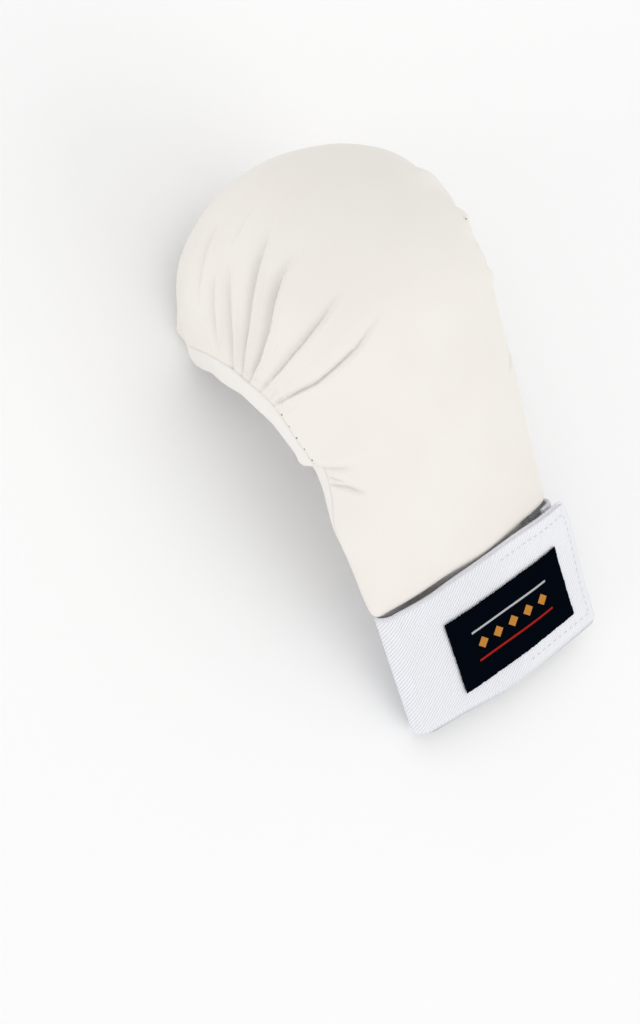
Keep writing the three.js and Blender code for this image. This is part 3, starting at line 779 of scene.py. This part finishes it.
# Places along the pad: the needle holes' first and last, and the loose knot's
HOLES_FROM, HOLES_TO = 4.05, 5.6
KNOT = Sizes(along=6.34, from_seam=42.5)
# The pad's closed finger end: how far it closes, and how far it stands out
PAD_TIP = Sizes(closes=0.97, out=4.0, points=11)


def pleat_line(path, base, height, turn, left):
    """A pleat's line on the pad's plain outside, as points, and each point's share of the way along."""
    path = np.array(path, float)
    share = np.linspace(0, 1, PLEAT.points)
    run = line_lengths(path)
    half = base.shape[1] // 2 + 1
    order = slice(0, half) if left else slice(None, -half - 1, -1)
    line = []
    for want_turn, want_height in at_length(path, run, share * run[-1]):
        row = np.interp(want_turn, turn, np.arange(len(turn)))
        i = int(min(row, len(turn) - 2))
        ends = [
            [np.interp(want_height, height[k, order], base[k, order, axis]) for axis in range(3)]
            for k in (i, i + 1)
        ]
        line.append(np.array(ends[0]) + np.subtract(ends[1], ends[0]) * (row - i))
    return np.array(line), share


def pleat_push(base, normal, height, turn, pleats):
    """How far the pleats move the pad's outside, with a broad slope on the fist side and a sharp edge on
    the other. Also each point's distance across the nearest pleat's line, and how strongly that line's
    painted shade and painted highlight show."""
    push = np.zeros(base.shape[:2])
    nearest, across, crisp = push + 9, push + 9, push.copy()
    for (depth, fist, wrist, shown, path), left in pleats:
        line, share = pleat_line(path, base, height, turn, left)
        ahead = unit(np.gradient(line, axis=0))
        reach = PLEAT.reach * max(fist, wrist)
        near = np.all((base > line.min(axis=0) - reach) & (base < line.max(axis=0) + reach), axis=2)
        p, n = base[near], normal[near]
        k = np.argmin(np.linalg.norm(p[:, None] - line[None], axis=2), axis=1)
        side = np.sum((p - line[k]) * np.cross(ahead[k], n), axis=1) * (1 if left else -1)
        off = np.linalg.norm(p - line[k], axis=1)
        tight = PLEAT.narrow + (1 - PLEAT.narrow) * smooth(share[k] / PLEAT.widens_to)
        wide = np.where(side < 0, fist, wrist) * tight
        begin = PLEAT.at_seam if path[0][1] < PLEAT.seam_height else 0.0
        fade = begin + (1 - begin) * smooth(share[k] / PLEAT.deepens_to)
        fade *= 1 - smooth((share[k] - PLEAT.fades_from) / (1 - PLEAT.fades_from)) ** 1.2
        slope = np.exp(-((off / wide) ** np.where(side < 0, 1.25, 1.8)))
        groove = np.exp(-((off / (0.38 * wide + 0.35)) ** 1.5))
        valley = (1 - PLEAT.groove) * slope + PLEAT.groove * groove
        ridge = np.where(side > 0, PLEAT.ridge, PLEAT.fist_ridge)
        ridge = ridge * bump(off, PLEAT.ridge_at * wide, wide)
        push[near] += PLEAT.depth * depth * fade * (ridge - valley)
        closer = off < nearest[near]
        spot = tuple(index[closer] for index in np.nonzero(near))
        nearest[spot], across[spot] = off[closer], side[closer]
        crisp[spot] = shown * (fade * (1 - smooth((share[k] - 0.5) / 0.4)))[closer]
    return push, across, crisp


def small_puckers(draw):
    """Short pleats between the long ones, along the gathered seam."""
    pleats = []
    for turn in np.arange(PUCKERS.first, PUCKERS.last, PUCKERS.apart):
        start = turn + draw.uniform(-0.7, 0.7)
        path = [(start, 3), (start + draw.uniform(-0.5, 1.5), 8 + draw.uniform(2, 8))]
        pleats.append((draw.uniform(0.2, 0.45), *PUCKERS.wide, 0, path))
    return pleats


def wrist_fit(points):
    """How far the pad's wrist end stands up to the band in its middle, and drops away at the sides."""
    x, y = points[..., 0], points[..., 1]
    middle = bump(x, 9, 15) * bump(y, 1, 5)
    sides = bump(x, -25, 12) + smooth((x - 26) / 10)
    drop = 0.5 * bump(y, 3.6, 2.6) - 2.6 * smooth((2.0 - y) / 1.4)
    return (middle + sides * drop) * smooth((y + 8) / 4)


def pad_outside(along):
    """The pad's outside with its pleats, from seam to seam, its normals and its material's values."""
    section = sections(along)
    x, n, height = outer_lines(section, OUTER_COUNT)
    base = draw_in(stand(section, x, n))
    normal = -normals_of(base)
    turn = section.turn[:, 0] + 1e-4 * np.arange(len(along))
    pleats = [(pleat, True) for pleat in LEFT_PLEATS + small_puckers(rng)]
    pleats += [(pleat, False) for pleat in RIGHT_PLEATS + small_puckers(rng)]
    push, across, crisp = pleat_push(base, normal, height, turn, pleats)
    from_seam = height - seam_height(section)
    # fold: painted shade in the pleats' valleys, and a painted shadow where the pad goes in under the band
    at_band = smooth((1.6 - base[..., 1]) / 1.2) * (turn < 1)[:, None]
    fold = np.clip(-push / 2.6, 0, 1) ** 1.4 * 0.7 + 1.6 * at_band
    gathered = smooth((turn - 12) / 16) * smooth((92 - turn) / 16)
    push += 0.5 * gathered[:, None] * np.sin(math.pi * np.clip(from_seam / 56, 0, 1)) ** 2
    for puff_turn, puff_height, out, wide_turn, wide_height in RIGHT_PUFFS:
        off = ((turn[:, None] - puff_turn) / wide_turn) ** 2 + ((height - puff_height) / wide_height) ** 2
        push += out * np.exp(-off) * (x > 0)
    push *= smooth(from_seam / 2.6)
    push += wrist_fit(base)
    push += 0.25 * soft_noise(base, 34.0, 11) * smooth(from_seam / 8)
    push -= 0.25 * bump(from_seam, 0, 0.9)
    return base + normal * push[..., None], normal, dict(fold=fold, across=across, crisp=crisp)


def pad_inside(along):
    """The pad's face, behind the lining."""
    section = sections(along)
    x, n, _ = inner_lines(section, 0.0, INNER_COUNT, 1.5)
    grid = draw_in(stand(section, x, n))
    under = RECESS + WRIST_RECESS * np.clip((2.3 - along) / 1.3, 0, 1)
    depth = np.where(along <= PAD_RIM_FROM, under, 0)
    return grid - normals_of(grid) * depth[:, None, None]


def middle_line(outer, inner):
    """For each point of a ring, the place midway between its two sides, which run from left to right."""
    share = [line_lengths(side) / line_lengths(side)[-1] for side in (outer, inner)]
    on_inner, on_outer = at_length(inner, share[1], share[0]), at_length(outer, share[0], share[1])
    return np.concatenate([(outer + on_inner) / 2, ((inner + on_outer) / 2)[::-1]])


def zip_faces(outer_count, inner_count):
    """Triangles between a ring's outer side and its inner side, which runs back."""
    count = outer_count + inner_count
    faces = []
    i, j = 0, 0
    while i < outer_count - 1 or j < inner_count - 1:
        near = count - 1 - j
        outer_first = (i + 1) / outer_count <= (j + 1) / inner_count
        if j == inner_count - 1 or (i < outer_count - 1 and outer_first):
            faces.append((i, i + 1, near))
            i += 1
        else:
            faces.append((i, near - 1, near))
            j += 1
    return np.array(faces)


def make_pad():
    along = stations(0, PAD_END, PAD_STATIONS)
    outside, normal, values = pad_outside(along)
    inside = pad_inside(along)
    rings = np.concatenate([outside, inside[:, ::-1]], axis=1)
    middle = middle_line(outside[-1], inside[-1])
    lean = math.radians(float(column("turn", PAD_END)))
    onward = np.array([0, math.cos(lean), -math.sin(lean)])
    last = rings[-1]
    ends = []
    for a in np.linspace(0, math.pi / 2, PAD_TIP.points)[1:]:
        closing = 0.4 - 0.4 * math.cos(a) + 0.6 * math.sin(a)
        out = onward * PAD_TIP.out * math.sin(a)
        ends.append(last + (middle - last) * PAD_TIP.closes * closing + out)
    rings = np.concatenate([rings, np.array(ends)])
    rows, cols = rings.shape[:2]
    for key, value in values.items():
        value = np.concatenate([value, np.zeros(inside.shape[:2])], axis=1)
        values[key] = np.concatenate([value, np.repeat(value[-1:], len(ends), axis=0)]).reshape(-1)
    faces = grid_faces(rows, cols, closed=True, flip=True).tolist()
    cap = zip_faces(OUTER_COUNT, INNER_COUNT)
    faces += cap[:, ::-1].tolist() + (cap + (rows - 1) * cols).tolist()
    piece = make_piece("padded_cover", rings.reshape(-1, 3), faces, COVER, None, values)
    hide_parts("pad")

    # Needle holes where the seam isn't gathered, and a loose knot of thread on the right
    sewn = (along > HOLES_FROM) & (along < HOLES_TO)
    pierce("seam_holes", [(outside[sewn, col], normal[sewn, col]) for col in (1, -2)])
    row = int(np.argmin(np.abs(along - KNOT.along)))
    col = OUTER_COUNT - 1 - int(KNOT.from_seam / line_lengths(outside[row])[-1] * OUTER_COUNT)
    around = slice(col - 1, col + 2)
    sew("seam_knot", [(outside[row, around], normal[row, around])])
    hole = outside[row, col] + np.outer([-1, 0, 1], [0.5, -0.5, 0]) + [0.9, -0.9, 0]
    pierce("seam_knot_hole", [(hole, np.tile(normal[row, col], (3, 1)))])


# The lining
LINING_ROWS = 300
LINING_COLS = 151
LINING_GAP = 0.12
# The tongue's two rows of stitches: how far from the middle, and their ends, along the pad. Then the hem's
# place along it, and the wrist stitches' place on Y.
TONGUE_ROW, TONGUE_FROM, TONGUE_TO = 2.6, 9.35, 10.25
HEM_ALONG, WRIST_ROW_Y = 10.3, 3.2


def make_lining():
    along = stations(LINING_FROM, LINING_END, LINING_ROWS)
    section = sections(along)
    x, n, from_seam = inner_lines(section, LINING_GAP, LINING_COLS)
    grid = draw_in(stand(section, x, n))
    normal = normals_of(grid)
    places = along[:, None]
    row = bump(np.abs(x), TONGUE_ROW, 1.0) * smooth((places - 6.4) / 0.5)
    ridges = (bump(x, 0, 15) - 0.6 * bump(x, 0, 3.5)) * smooth(places - 6.8)
    ridges *= smooth((10.35 - places) / 0.6)
    edges = bump(from_seam, 0, 0.9) * 0.25
    hem = bump(places, HEM_ALONG, 0.09)
    corner_lump = bump(grid[..., 1], 71.2, 2.0) * bump(from_seam, 5, 4)
    push = 1.1 * ridges - 0.9 * row - edges - 0.5 * hem
    push += 0.3 * soft_noise(grid, 26.0, 21) * smooth(from_seam / 9)
    push += 0.8 * corner_lump * (x < 0)
    # fold: painted shade in the tongue's stitch grooves, along the seams' edges and in the hem's groove
    fold = np.clip(0.4 * row + 0.3 * edges + 0.3 * hem, 0, 1)
    skin = grid + normal * push[..., None]
    piece = shell("lining_skin", skin, LINING_THICK, LINER, attributes=dict(fold=fold))
    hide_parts("lining")

    # Rows of stitches: two down the tongue inside the curl, one at the curl's end, and one beside the band
    tongue = (along > TONGUE_FROM) & (along < TONGUE_TO)
    rows = []
    for side in (-1, 1):
        column_at = np.argmin(np.abs(x[tongue] - side * TONGUE_ROW), axis=1)
        picked = np.arange(len(along))[tongue], column_at
        rows.append((skin[picked], normal[picked]))
    sew("tongue_stitches", rows)
    hem_row = int(np.argmin(np.abs(along - HEM_ALONG)))
    low_row = int(np.argmin(np.abs(section.y[:, 0] - WRIST_ROW_Y)))
    for name, row, inset in (("rim_stitches", hem_row, 10), ("wrist_stitches", low_row, 8)):
        sew(name, [(skin[row, inset:-inset], normal[row, inset:-inset])])


# The straps
FINGER_ROWS, FINGER_HALF_COLS = 26, 64
SEWN_SHARE = 0.15
WING_ROWS, WING_COLS = 49, 45
# How a wing leaves the lip, inward and down, how level it meets the strap, and how slim its waist is
WING_BEND = Sizes(inward=5.5, down=8, level=8, waist=3.4)
# The wing's row of stitches: columns in from its edges, and rows from its root
WING_INSET, WING_ROOT_INSET = 3, 6


def make_finger_band():
    ends = np.linspace(-1, 1, 2 * FINGER_HALF_COLS + 1)
    share, side = np.abs(ends), np.sign(ends)
    tip = FINGERS.tip + (FINGERS.end_tip - FINGERS.tip) * share ** 2
    root = FINGERS.root + (FINGERS.end_root - FINGERS.root) * share ** 0.8
    sewn = FINGERS.sewn_half
    grid = []
    for i in range(FINGER_ROWS):
        section = sections(root + (tip - root) * i / (FINGER_ROWS - 1))
        wall = section.half[:, 0] - 2 * LIP_RADIUS - FINGERS.thick - FINGERS.gap
        open_x = sewn + (wall - sewn) * (share - SEWN_SHARE) / (1 - SEWN_SHARE)
        x = np.where(share < SEWN_SHARE, sewn * share / SEWN_SHARE, open_x)
        free = np.clip((x - sewn) / (wall - sewn), 0, 1)
        high = section.inner[:, 0] - FINGERS.gap - FINGERS.thick
        n = high * (1 - free) ** 0.85 + 1.2 * free - FINGERS.slack * np.sin(math.pi * free)
        grid.append(stand(section, (side * x)[:, None], n[:, None])[:, 0])
    grid = np.array(grid)
    across = side * x
    row = bump(np.abs(across), TONGUE_ROW, 0.8)
    ripple = np.sin(np.linspace(0, 1, FINGER_ROWS)[:, None] * 5.0 + share[None] * 6)
    rise = np.clip(0.35 * ripple * smooth(share / 0.3) - 0.45 * row[None], -0.6, 0.6)
    piece = shell("finger_elastic", grid, FINGERS.thick, BOLD_TWILL, 0.35, 1.5, rise)
    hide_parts("finger_band")
    normal = normals_of(grid)
    front = grid + normal * rise[..., None]
    columns = [int(np.argmin(np.abs(across - edge))) for edge in (-TONGUE_ROW, TONGUE_ROW)]
    sew("finger_stitches", [(front[1:-1, j], normal[1:-1, j]) for j in columns])


def on_strap(x, from_middle, below):
    """Places in the palm strap's tilted plane, a distance from its middle line and a distance below it."""
    tilt = math.radians(STRAP.tilt)
    y = STRAP.middle + from_middle * math.cos(tilt) - below * math.sin(tilt)
    z = -STRAP.drop - from_middle * math.sin(tilt) - below * math.cos(tilt)
    return xyz(x, y, z)


def make_palm_strap():
    x = np.linspace(-STRAP.half_length, STRAP.half_length, 81)[None]
    across = np.linspace(-0.5, 0.5, 25)[:, None]
    bow = STRAP.sag * (1 - (x / STRAP.half_length) ** 2)
    free = 1 - (x / STRAP.half_length) ** 4
    curl = 0.5 * (np.abs(across) * 2) ** 4 * free
    wave = 0.3 * np.sin(x / 9.0 + across * 3.0) * free
    grid = on_strap(x, across * STRAP.width, bow - curl + wave)
    piece = shell("palm_elastic", grid, STRAP.thick, HERRINGBONE, 0.35, 1.3)
    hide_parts("palm_strap")


def make_wing(side):
    """A wing from below the pad's lip to the strap's end, with turned edges. On the left, side is -1."""
    u = np.linspace(0, 1, WING_COLS)
    section = sections(WING.root_from + (WING.root_to - WING.root_from) * u)
    under_lip = side * (section.half - LIP_RADIUS - 1)
    root = draw_in(stand(section, under_lip, -LIP_RADIUS - 2 * SKIN_GAP)[:, 0])
    end = on_strap(side * WING.end_across, WING.end_width * (u - 0.5), WING.below)
    (root_x, root_y, root_z), (end_x, end_y, end_z) = root.T, end.T
    bend = xyz(root_x - side * WING_BEND.inward, (2 * root_y + end_y) / 3, root_z - WING_BEND.down)
    level = xyz(end_x + side * WING_BEND.level, (root_y + 3 * end_y) / 4, end_z)
    t = np.linspace(0, 1, WING_ROWS)[:, None, None]
    grid = (1 - t) ** 3 * root + 3 * (1 - t) ** 2 * t * bend + 3 * (1 - t) * t ** 2 * level + t ** 3 * end
    grid[..., 1] += WING_BEND.waist * np.sin(math.pi * t[..., 0]) * (1 - 2 * u)[None]
    if side > 0:
        grid = grid[:, ::-1]
    grid = (grid - normals_of(grid) * WING.thick)[:, ::-1]
    flat = grid_flat(grid)
    from_root = flat[..., 1]
    near = np.minimum(from_ends(flat[..., 0]), from_root.max() - from_root)
    roll = 0.55 * bump(near, 1.0, 1.1) - 0.4 * bump(near, 3.0, 0.7)
    droop = 0.45 * soft_noise(grid, 22.0, 31 + side) * smooth(near / 6) * smooth(from_root / 8)
    rise = roll * smooth(from_root / 4) + np.clip(droop, -0.5, 0.5)
    # fold: painted shade in the groove beside the turned rim
    fold = 0.5 * bump(near, 3.0, 0.8)
    name = "wing_skin_left" if side < 0 else "wing_skin_right"
    piece = shell(name, grid, WING.thick, LINER, 0.45, 0.0, rise, dict(fold=fold))
    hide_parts("wing_left" if side < 0 else "wing_right")

    # One row of stitches: down one edge, along the strap's end and back
    normal = normals_of(grid)
    skin = grid + normal * rise[..., None]
    last_row, last_col = WING_ROWS - 1 - WING_INSET, WING_COLS - 1 - WING_INSET
    down, along = np.arange(WING_ROOT_INSET, last_row + 1), np.arange(WING_INSET, last_col + 1)
    i = np.concatenate([down, np.full(len(along), last_row), down[::-1]])
    j = np.concatenate([np.full(len(down), WING_INSET), along, np.full(len(down), last_col)])
    sew(name + "_stitches", [(skin[i, j], normal[i, j])])


# The wrist band, its grip patch and its label
# Points along the band's five stretches
BAND_POINTS = Sizes(hidden=6, right_fold=16, palm=60, left_fold=26, tab=90)
# The tab's rows of stitches: in from its sides, its end and the grip patch's left edge
TAB_ROWS = Sizes(inset=5.0, from_end=2.5, from_grip=2, points=40, over=0.05)


def corner_cut(radius, distance):
    """How much a rounded corner takes off the band's length at one distance from its edge."""
    if distance >= radius:
        return 0.0
    return radius - math.sqrt(radius ** 2 - (radius - distance) ** 2)


def soft_face(x, y):
    """The tab's outer face with the slight unevenness of cloth. Both ends of its edge stand off the pad."""
    wave = 0.22 * np.sin(x / 11.0 + y / 17.0) + 0.16 * np.sin(x / 6.3 - y / 9.0 + 1.0)
    left = 1.5 * bump(x, -25, 11.0) * smooth((y + 20) / 20)
    middle = 0.7 * bump(x, 9, 14.0) * smooth((y + 14) / 14)
    right = 1.6 * smooth((x - 20) / 20) * smooth((y + 22) / 22)
    return band_face(x, y) + wave + left - middle + right


def fit_edges(points):
    """The band's points with its wrist edge higher on the left and its right end bowed outward."""
    x, y = points[..., 0], points[..., 1]
    moved = points.copy()
    moved[..., 1] = y * (1 - 0.045 * smooth((4 - x) / 34))
    moved[..., 0] += 1.8 * smooth((x - 34) / 12) * bump(y, -17, 15)
    return moved


def round_fold(x, low, high, first, last, steps):
    """Points round a fold that joins two layers, from one angle in degrees to another."""
    a = np.radians(np.linspace(first, last, steps))
    r = (high - low) / 2
    return np.stack([x + r * np.cos(a), (low + high) / 2 + r * np.sin(a)], axis=-1)


def band_line(y, rounded=True):
    """The band's outer face at one distance from the pad, from its hidden end round to the tab's end."""
    left, tab_end = BAND.left, BAND.tab_end
    if rounded:
        left += corner_cut(BAND.fold_corner, BAND.height + y)
        tab_end -= corner_cut(BAND.tab_corner, BAND.height + y) + corner_cut(BAND.tab_corner, -y)
    below = 2 * PATCH_GAP + BAND.thick + GRIP.thick
    under = BAND.under
    bow = 1.4 * smooth((y + 14) / 14)
    right_fold = BAND.right - (soft_face(BAND.right, y) - below - under) / 2 + bow
    left_fold = left + (soft_face(left + 5, y) - under) / 2
    hidden = np.linspace(BAND.under_tab_from, right_fold, BAND_POINTS.hidden)[:-1]
    palm = np.linspace(right_fold, left_fold, BAND_POINTS.palm)[1:-1]
    tab = np.linspace(left_fold, tab_end, BAND_POINTS.tab)[1:]
    inner_face = soft_face(right_fold, y) - below
    return np.concatenate([
        np.stack([hidden, soft_face(hidden, y) - below], axis=-1),
        round_fold(right_fold, under, inner_face, 90, -90, BAND_POINTS.right_fold),
        np.stack([palm, np.full_like(palm, under)], axis=-1),
        round_fold(left_fold, under, soft_face(left_fold, y), 270, 90, BAND_POINTS.left_fold),
        np.stack([tab, soft_face(tab, y)], axis=-1),
    ])


def make_wrist_band():
    edge = 6.0
    ends = edge * (1 - np.cos(np.linspace(0, math.pi / 2, 14)))
    middle = np.linspace(edge, BAND.height - edge, 30)[1:-1]
    places = np.concatenate([ends, middle, BAND.height - ends[::-1]])
    grid, square = (
        np.array([np.insert(band_line(-y, rounded), 1, -y, axis=1) for y in places])
        for rounded in (True, False)
    )
    x, y = grid[..., 0], grid[..., 1]
    tab = np.zeros(grid.shape[:2])
    tab[:, 1 - BAND_POINTS.tab:] = 1
    from_end = BAND.tab_end - x
    hem = tab * (0.3 * smooth(4.0 - from_end) - 0.35 * bump(from_end, 3.0, 0.5))
    selvedge = -0.22 * (bump(-y, 1.7, 0.35) + bump(BAND.height + y, 1.7, 0.35))
    calm = tab * smooth((x - 2.0) / 16.0)
    grid = fit_edges(grid)
    piece = shell("wrist_elastic", grid, BAND.thick, TWILL, 0.4, 1.5, hem + selvedge,
                  dict(calm=calm), normals_of(square))
    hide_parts("wrist_band")

    def tab_row(x, y):
        line = fit_edges(xyz(x, y, soft_face(x, y) + TAB_ROWS.over))
        return line, np.tile([0.0, 0.0, 1.0], (len(line), 1))

    last = BAND.tab_end - TAB_ROWS.from_end
    high, low = -TAB_ROWS.inset, -BAND.height + TAB_ROWS.inset
    along = np.linspace(GRIP.left + TAB_ROWS.from_grip, last, TAB_ROWS.points)
    down = np.linspace(high, low, TAB_ROWS.points)
    rows = [tab_row(last, down), tab_row(along, low), tab_row(along, high)]
    sew("tab_stitches", rows, TAB_THREAD)


def tab_patch(left, right, top, bottom, above, count, ragged=0.0):
    """Points of a patch on the tab's outer face, a distance above or below it. Its edges may be ragged."""
    cols, rows = count
    x, y = np.meshgrid(np.linspace(left, right, cols), -np.linspace(top, bottom, rows))
    if ragged:
        def border(length):
            return np.convolve(rng.normal(0, ragged, length), [0.3, 0.4, 0.3], mode="same")

        near_x = np.exp(-np.minimum(x - left, right - x) / 0.8)
        near_y = np.exp(-np.minimum(y + bottom, -top - y) / 0.8)
        x = x + near_x * np.where(x < (left + right) / 2, border(rows)[:, None], border(rows)[:, None])
        y = y + near_y * np.where(y < -(top + bottom) / 2, border(cols)[None], border(cols)[None])
    return xyz(x, y, soft_face(x, y) + above)


def make_grip_patch():
    margin = GRIP.margin
    above = -BAND.thick - PATCH_GAP
    grid = tab_patch(GRIP.left, GRIP.right, margin, BAND.height - margin, above, (40, 50))
    piece = shell("grip_tape", grid, GRIP.thick, GRIP_TAPE)
    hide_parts("grip_patch")


def make_label():
    left = LABEL.across - LABEL.width / 2
    top = LABEL.below
    above = PATCH_GAP + LABEL.thick
    grid = tab_patch(left, left + LABEL.width, top, top + LABEL.height, above, (151, 81), 0.13)
    flat = grid_flat(grid)
    near = np.minimum(from_ends(flat[..., 0]), from_ends(flat[..., 1]))
    rise = -0.28 * bump(near, 0, 0.5) - 0.12 * bump(near, 1.3, 0.35)
    piece = shell("woven_label", grid, LABEL.thick, WOVEN_LABEL, 0.3, 0.0, rise)
    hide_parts("label")


# Floor, lights and camera
PICTURE = (640, 1024)
# The camera's right, up and back in the hand's frame, and the point that it sees at one pixel
CAMERA = Sizes(turned=[[0.733, -0.298, 0.618], [0.4875, 0.844, -0.185], [-0.475, 0.446, 0.764]],
               anchor=(8.2, -30.0, 12.2), anchor_pixel=(511.0, 619.8), away=1200.0, pixels_per_mm=2.6,
               sensor=36.0, near=0.05, far=20.0)
# The lights: how far each is to the right, up and towards the camera, its strength, and its angle
SUNS = {"key": ((-0.9, -0.4, 0.8), 0.42, 30), "fill": ((0.9, -0.5, 0.3), 0.48, 50)}
SKY_STRENGTH = 0.885
FLOOR_HALF = 4.0


def make_camera():
    """The photograph's view: the anchor point is seen at its pixel from the given distance."""
    u, _, v = np.linalg.svd(np.array(CAMERA.turned))
    axes = u @ v
    right = (CAMERA.anchor_pixel[0] - PICTURE[0] / 2) / CAMERA.pixels_per_mm
    up = (PICTURE[1] / 2 - CAMERA.anchor_pixel[1]) / CAMERA.pixels_per_mm
    spot = np.array(CAMERA.anchor) + axes.T @ np.array([-right, -up, CAMERA.away])
    data = bpy.data.cameras.new("camera")
    data.sensor_width = CAMERA.sensor
    data.lens = CAMERA.away * CAMERA.pixels_per_mm / max(PICTURE) * data.sensor_width
    data.clip_start, data.clip_end = CAMERA.near, CAMERA.far
    camera = new_object("camera", data)
    turned = axes @ TILT.T
    camera.matrix_world = Matrix.Translation(Vector(place(spot))) @ Matrix(turned.T.tolist()).to_4x4()
    bpy.context.scene.camera = camera
    return turned


def make_sun(name, direction, strength, angle):
    """A soft light that is equally strong everywhere."""
    data = bpy.data.lights.new(name, "SUN")
    data.energy = strength
    data.angle = math.radians(angle)
    lamp = new_object(name, data)
    lamp.rotation_mode = "QUATERNION"
    lamp.rotation_quaternion = Vector(direction).to_track_quat("Z", "Y")


def make_studio():
    mesh = bpy.data.meshes.new("floor")
    corners = [(x * FLOOR_HALF, y * FLOOR_HALF, 0) for x, y in ((-1, -1), (1, -1), (1, 1), (-1, 1))]
    mesh.from_pydata(corners, [], [(0, 1, 2, 3)])
    floor = new_object("floor", mesh)
    mesh.materials.append(floor_paint())
    world = bpy.data.worlds.new("studio")
    world.use_nodes = True
    background = world.node_tree.nodes["Background"]
    background.inputs["Color"].default_value = (1.0, 1.0, 1.0, 1)
    background.inputs["Strength"].default_value = SKY_STRENGTH
    bpy.context.scene.world = world
    axes = make_camera()
    for name, (direction, strength, angle) in SUNS.items():
        make_sun(name, np.array(direction) @ axes, strength, angle)
    bpy.context.scene.view_settings.view_transform = "Standard"
    bpy.context.scene.view_settings.look = "None"


make_studio()
make_pad()
make_lining()
make_finger_band()
make_palm_strap()
make_wing(-1)
make_wing(1)
make_wrist_band()
make_grip_patch()
make_label()
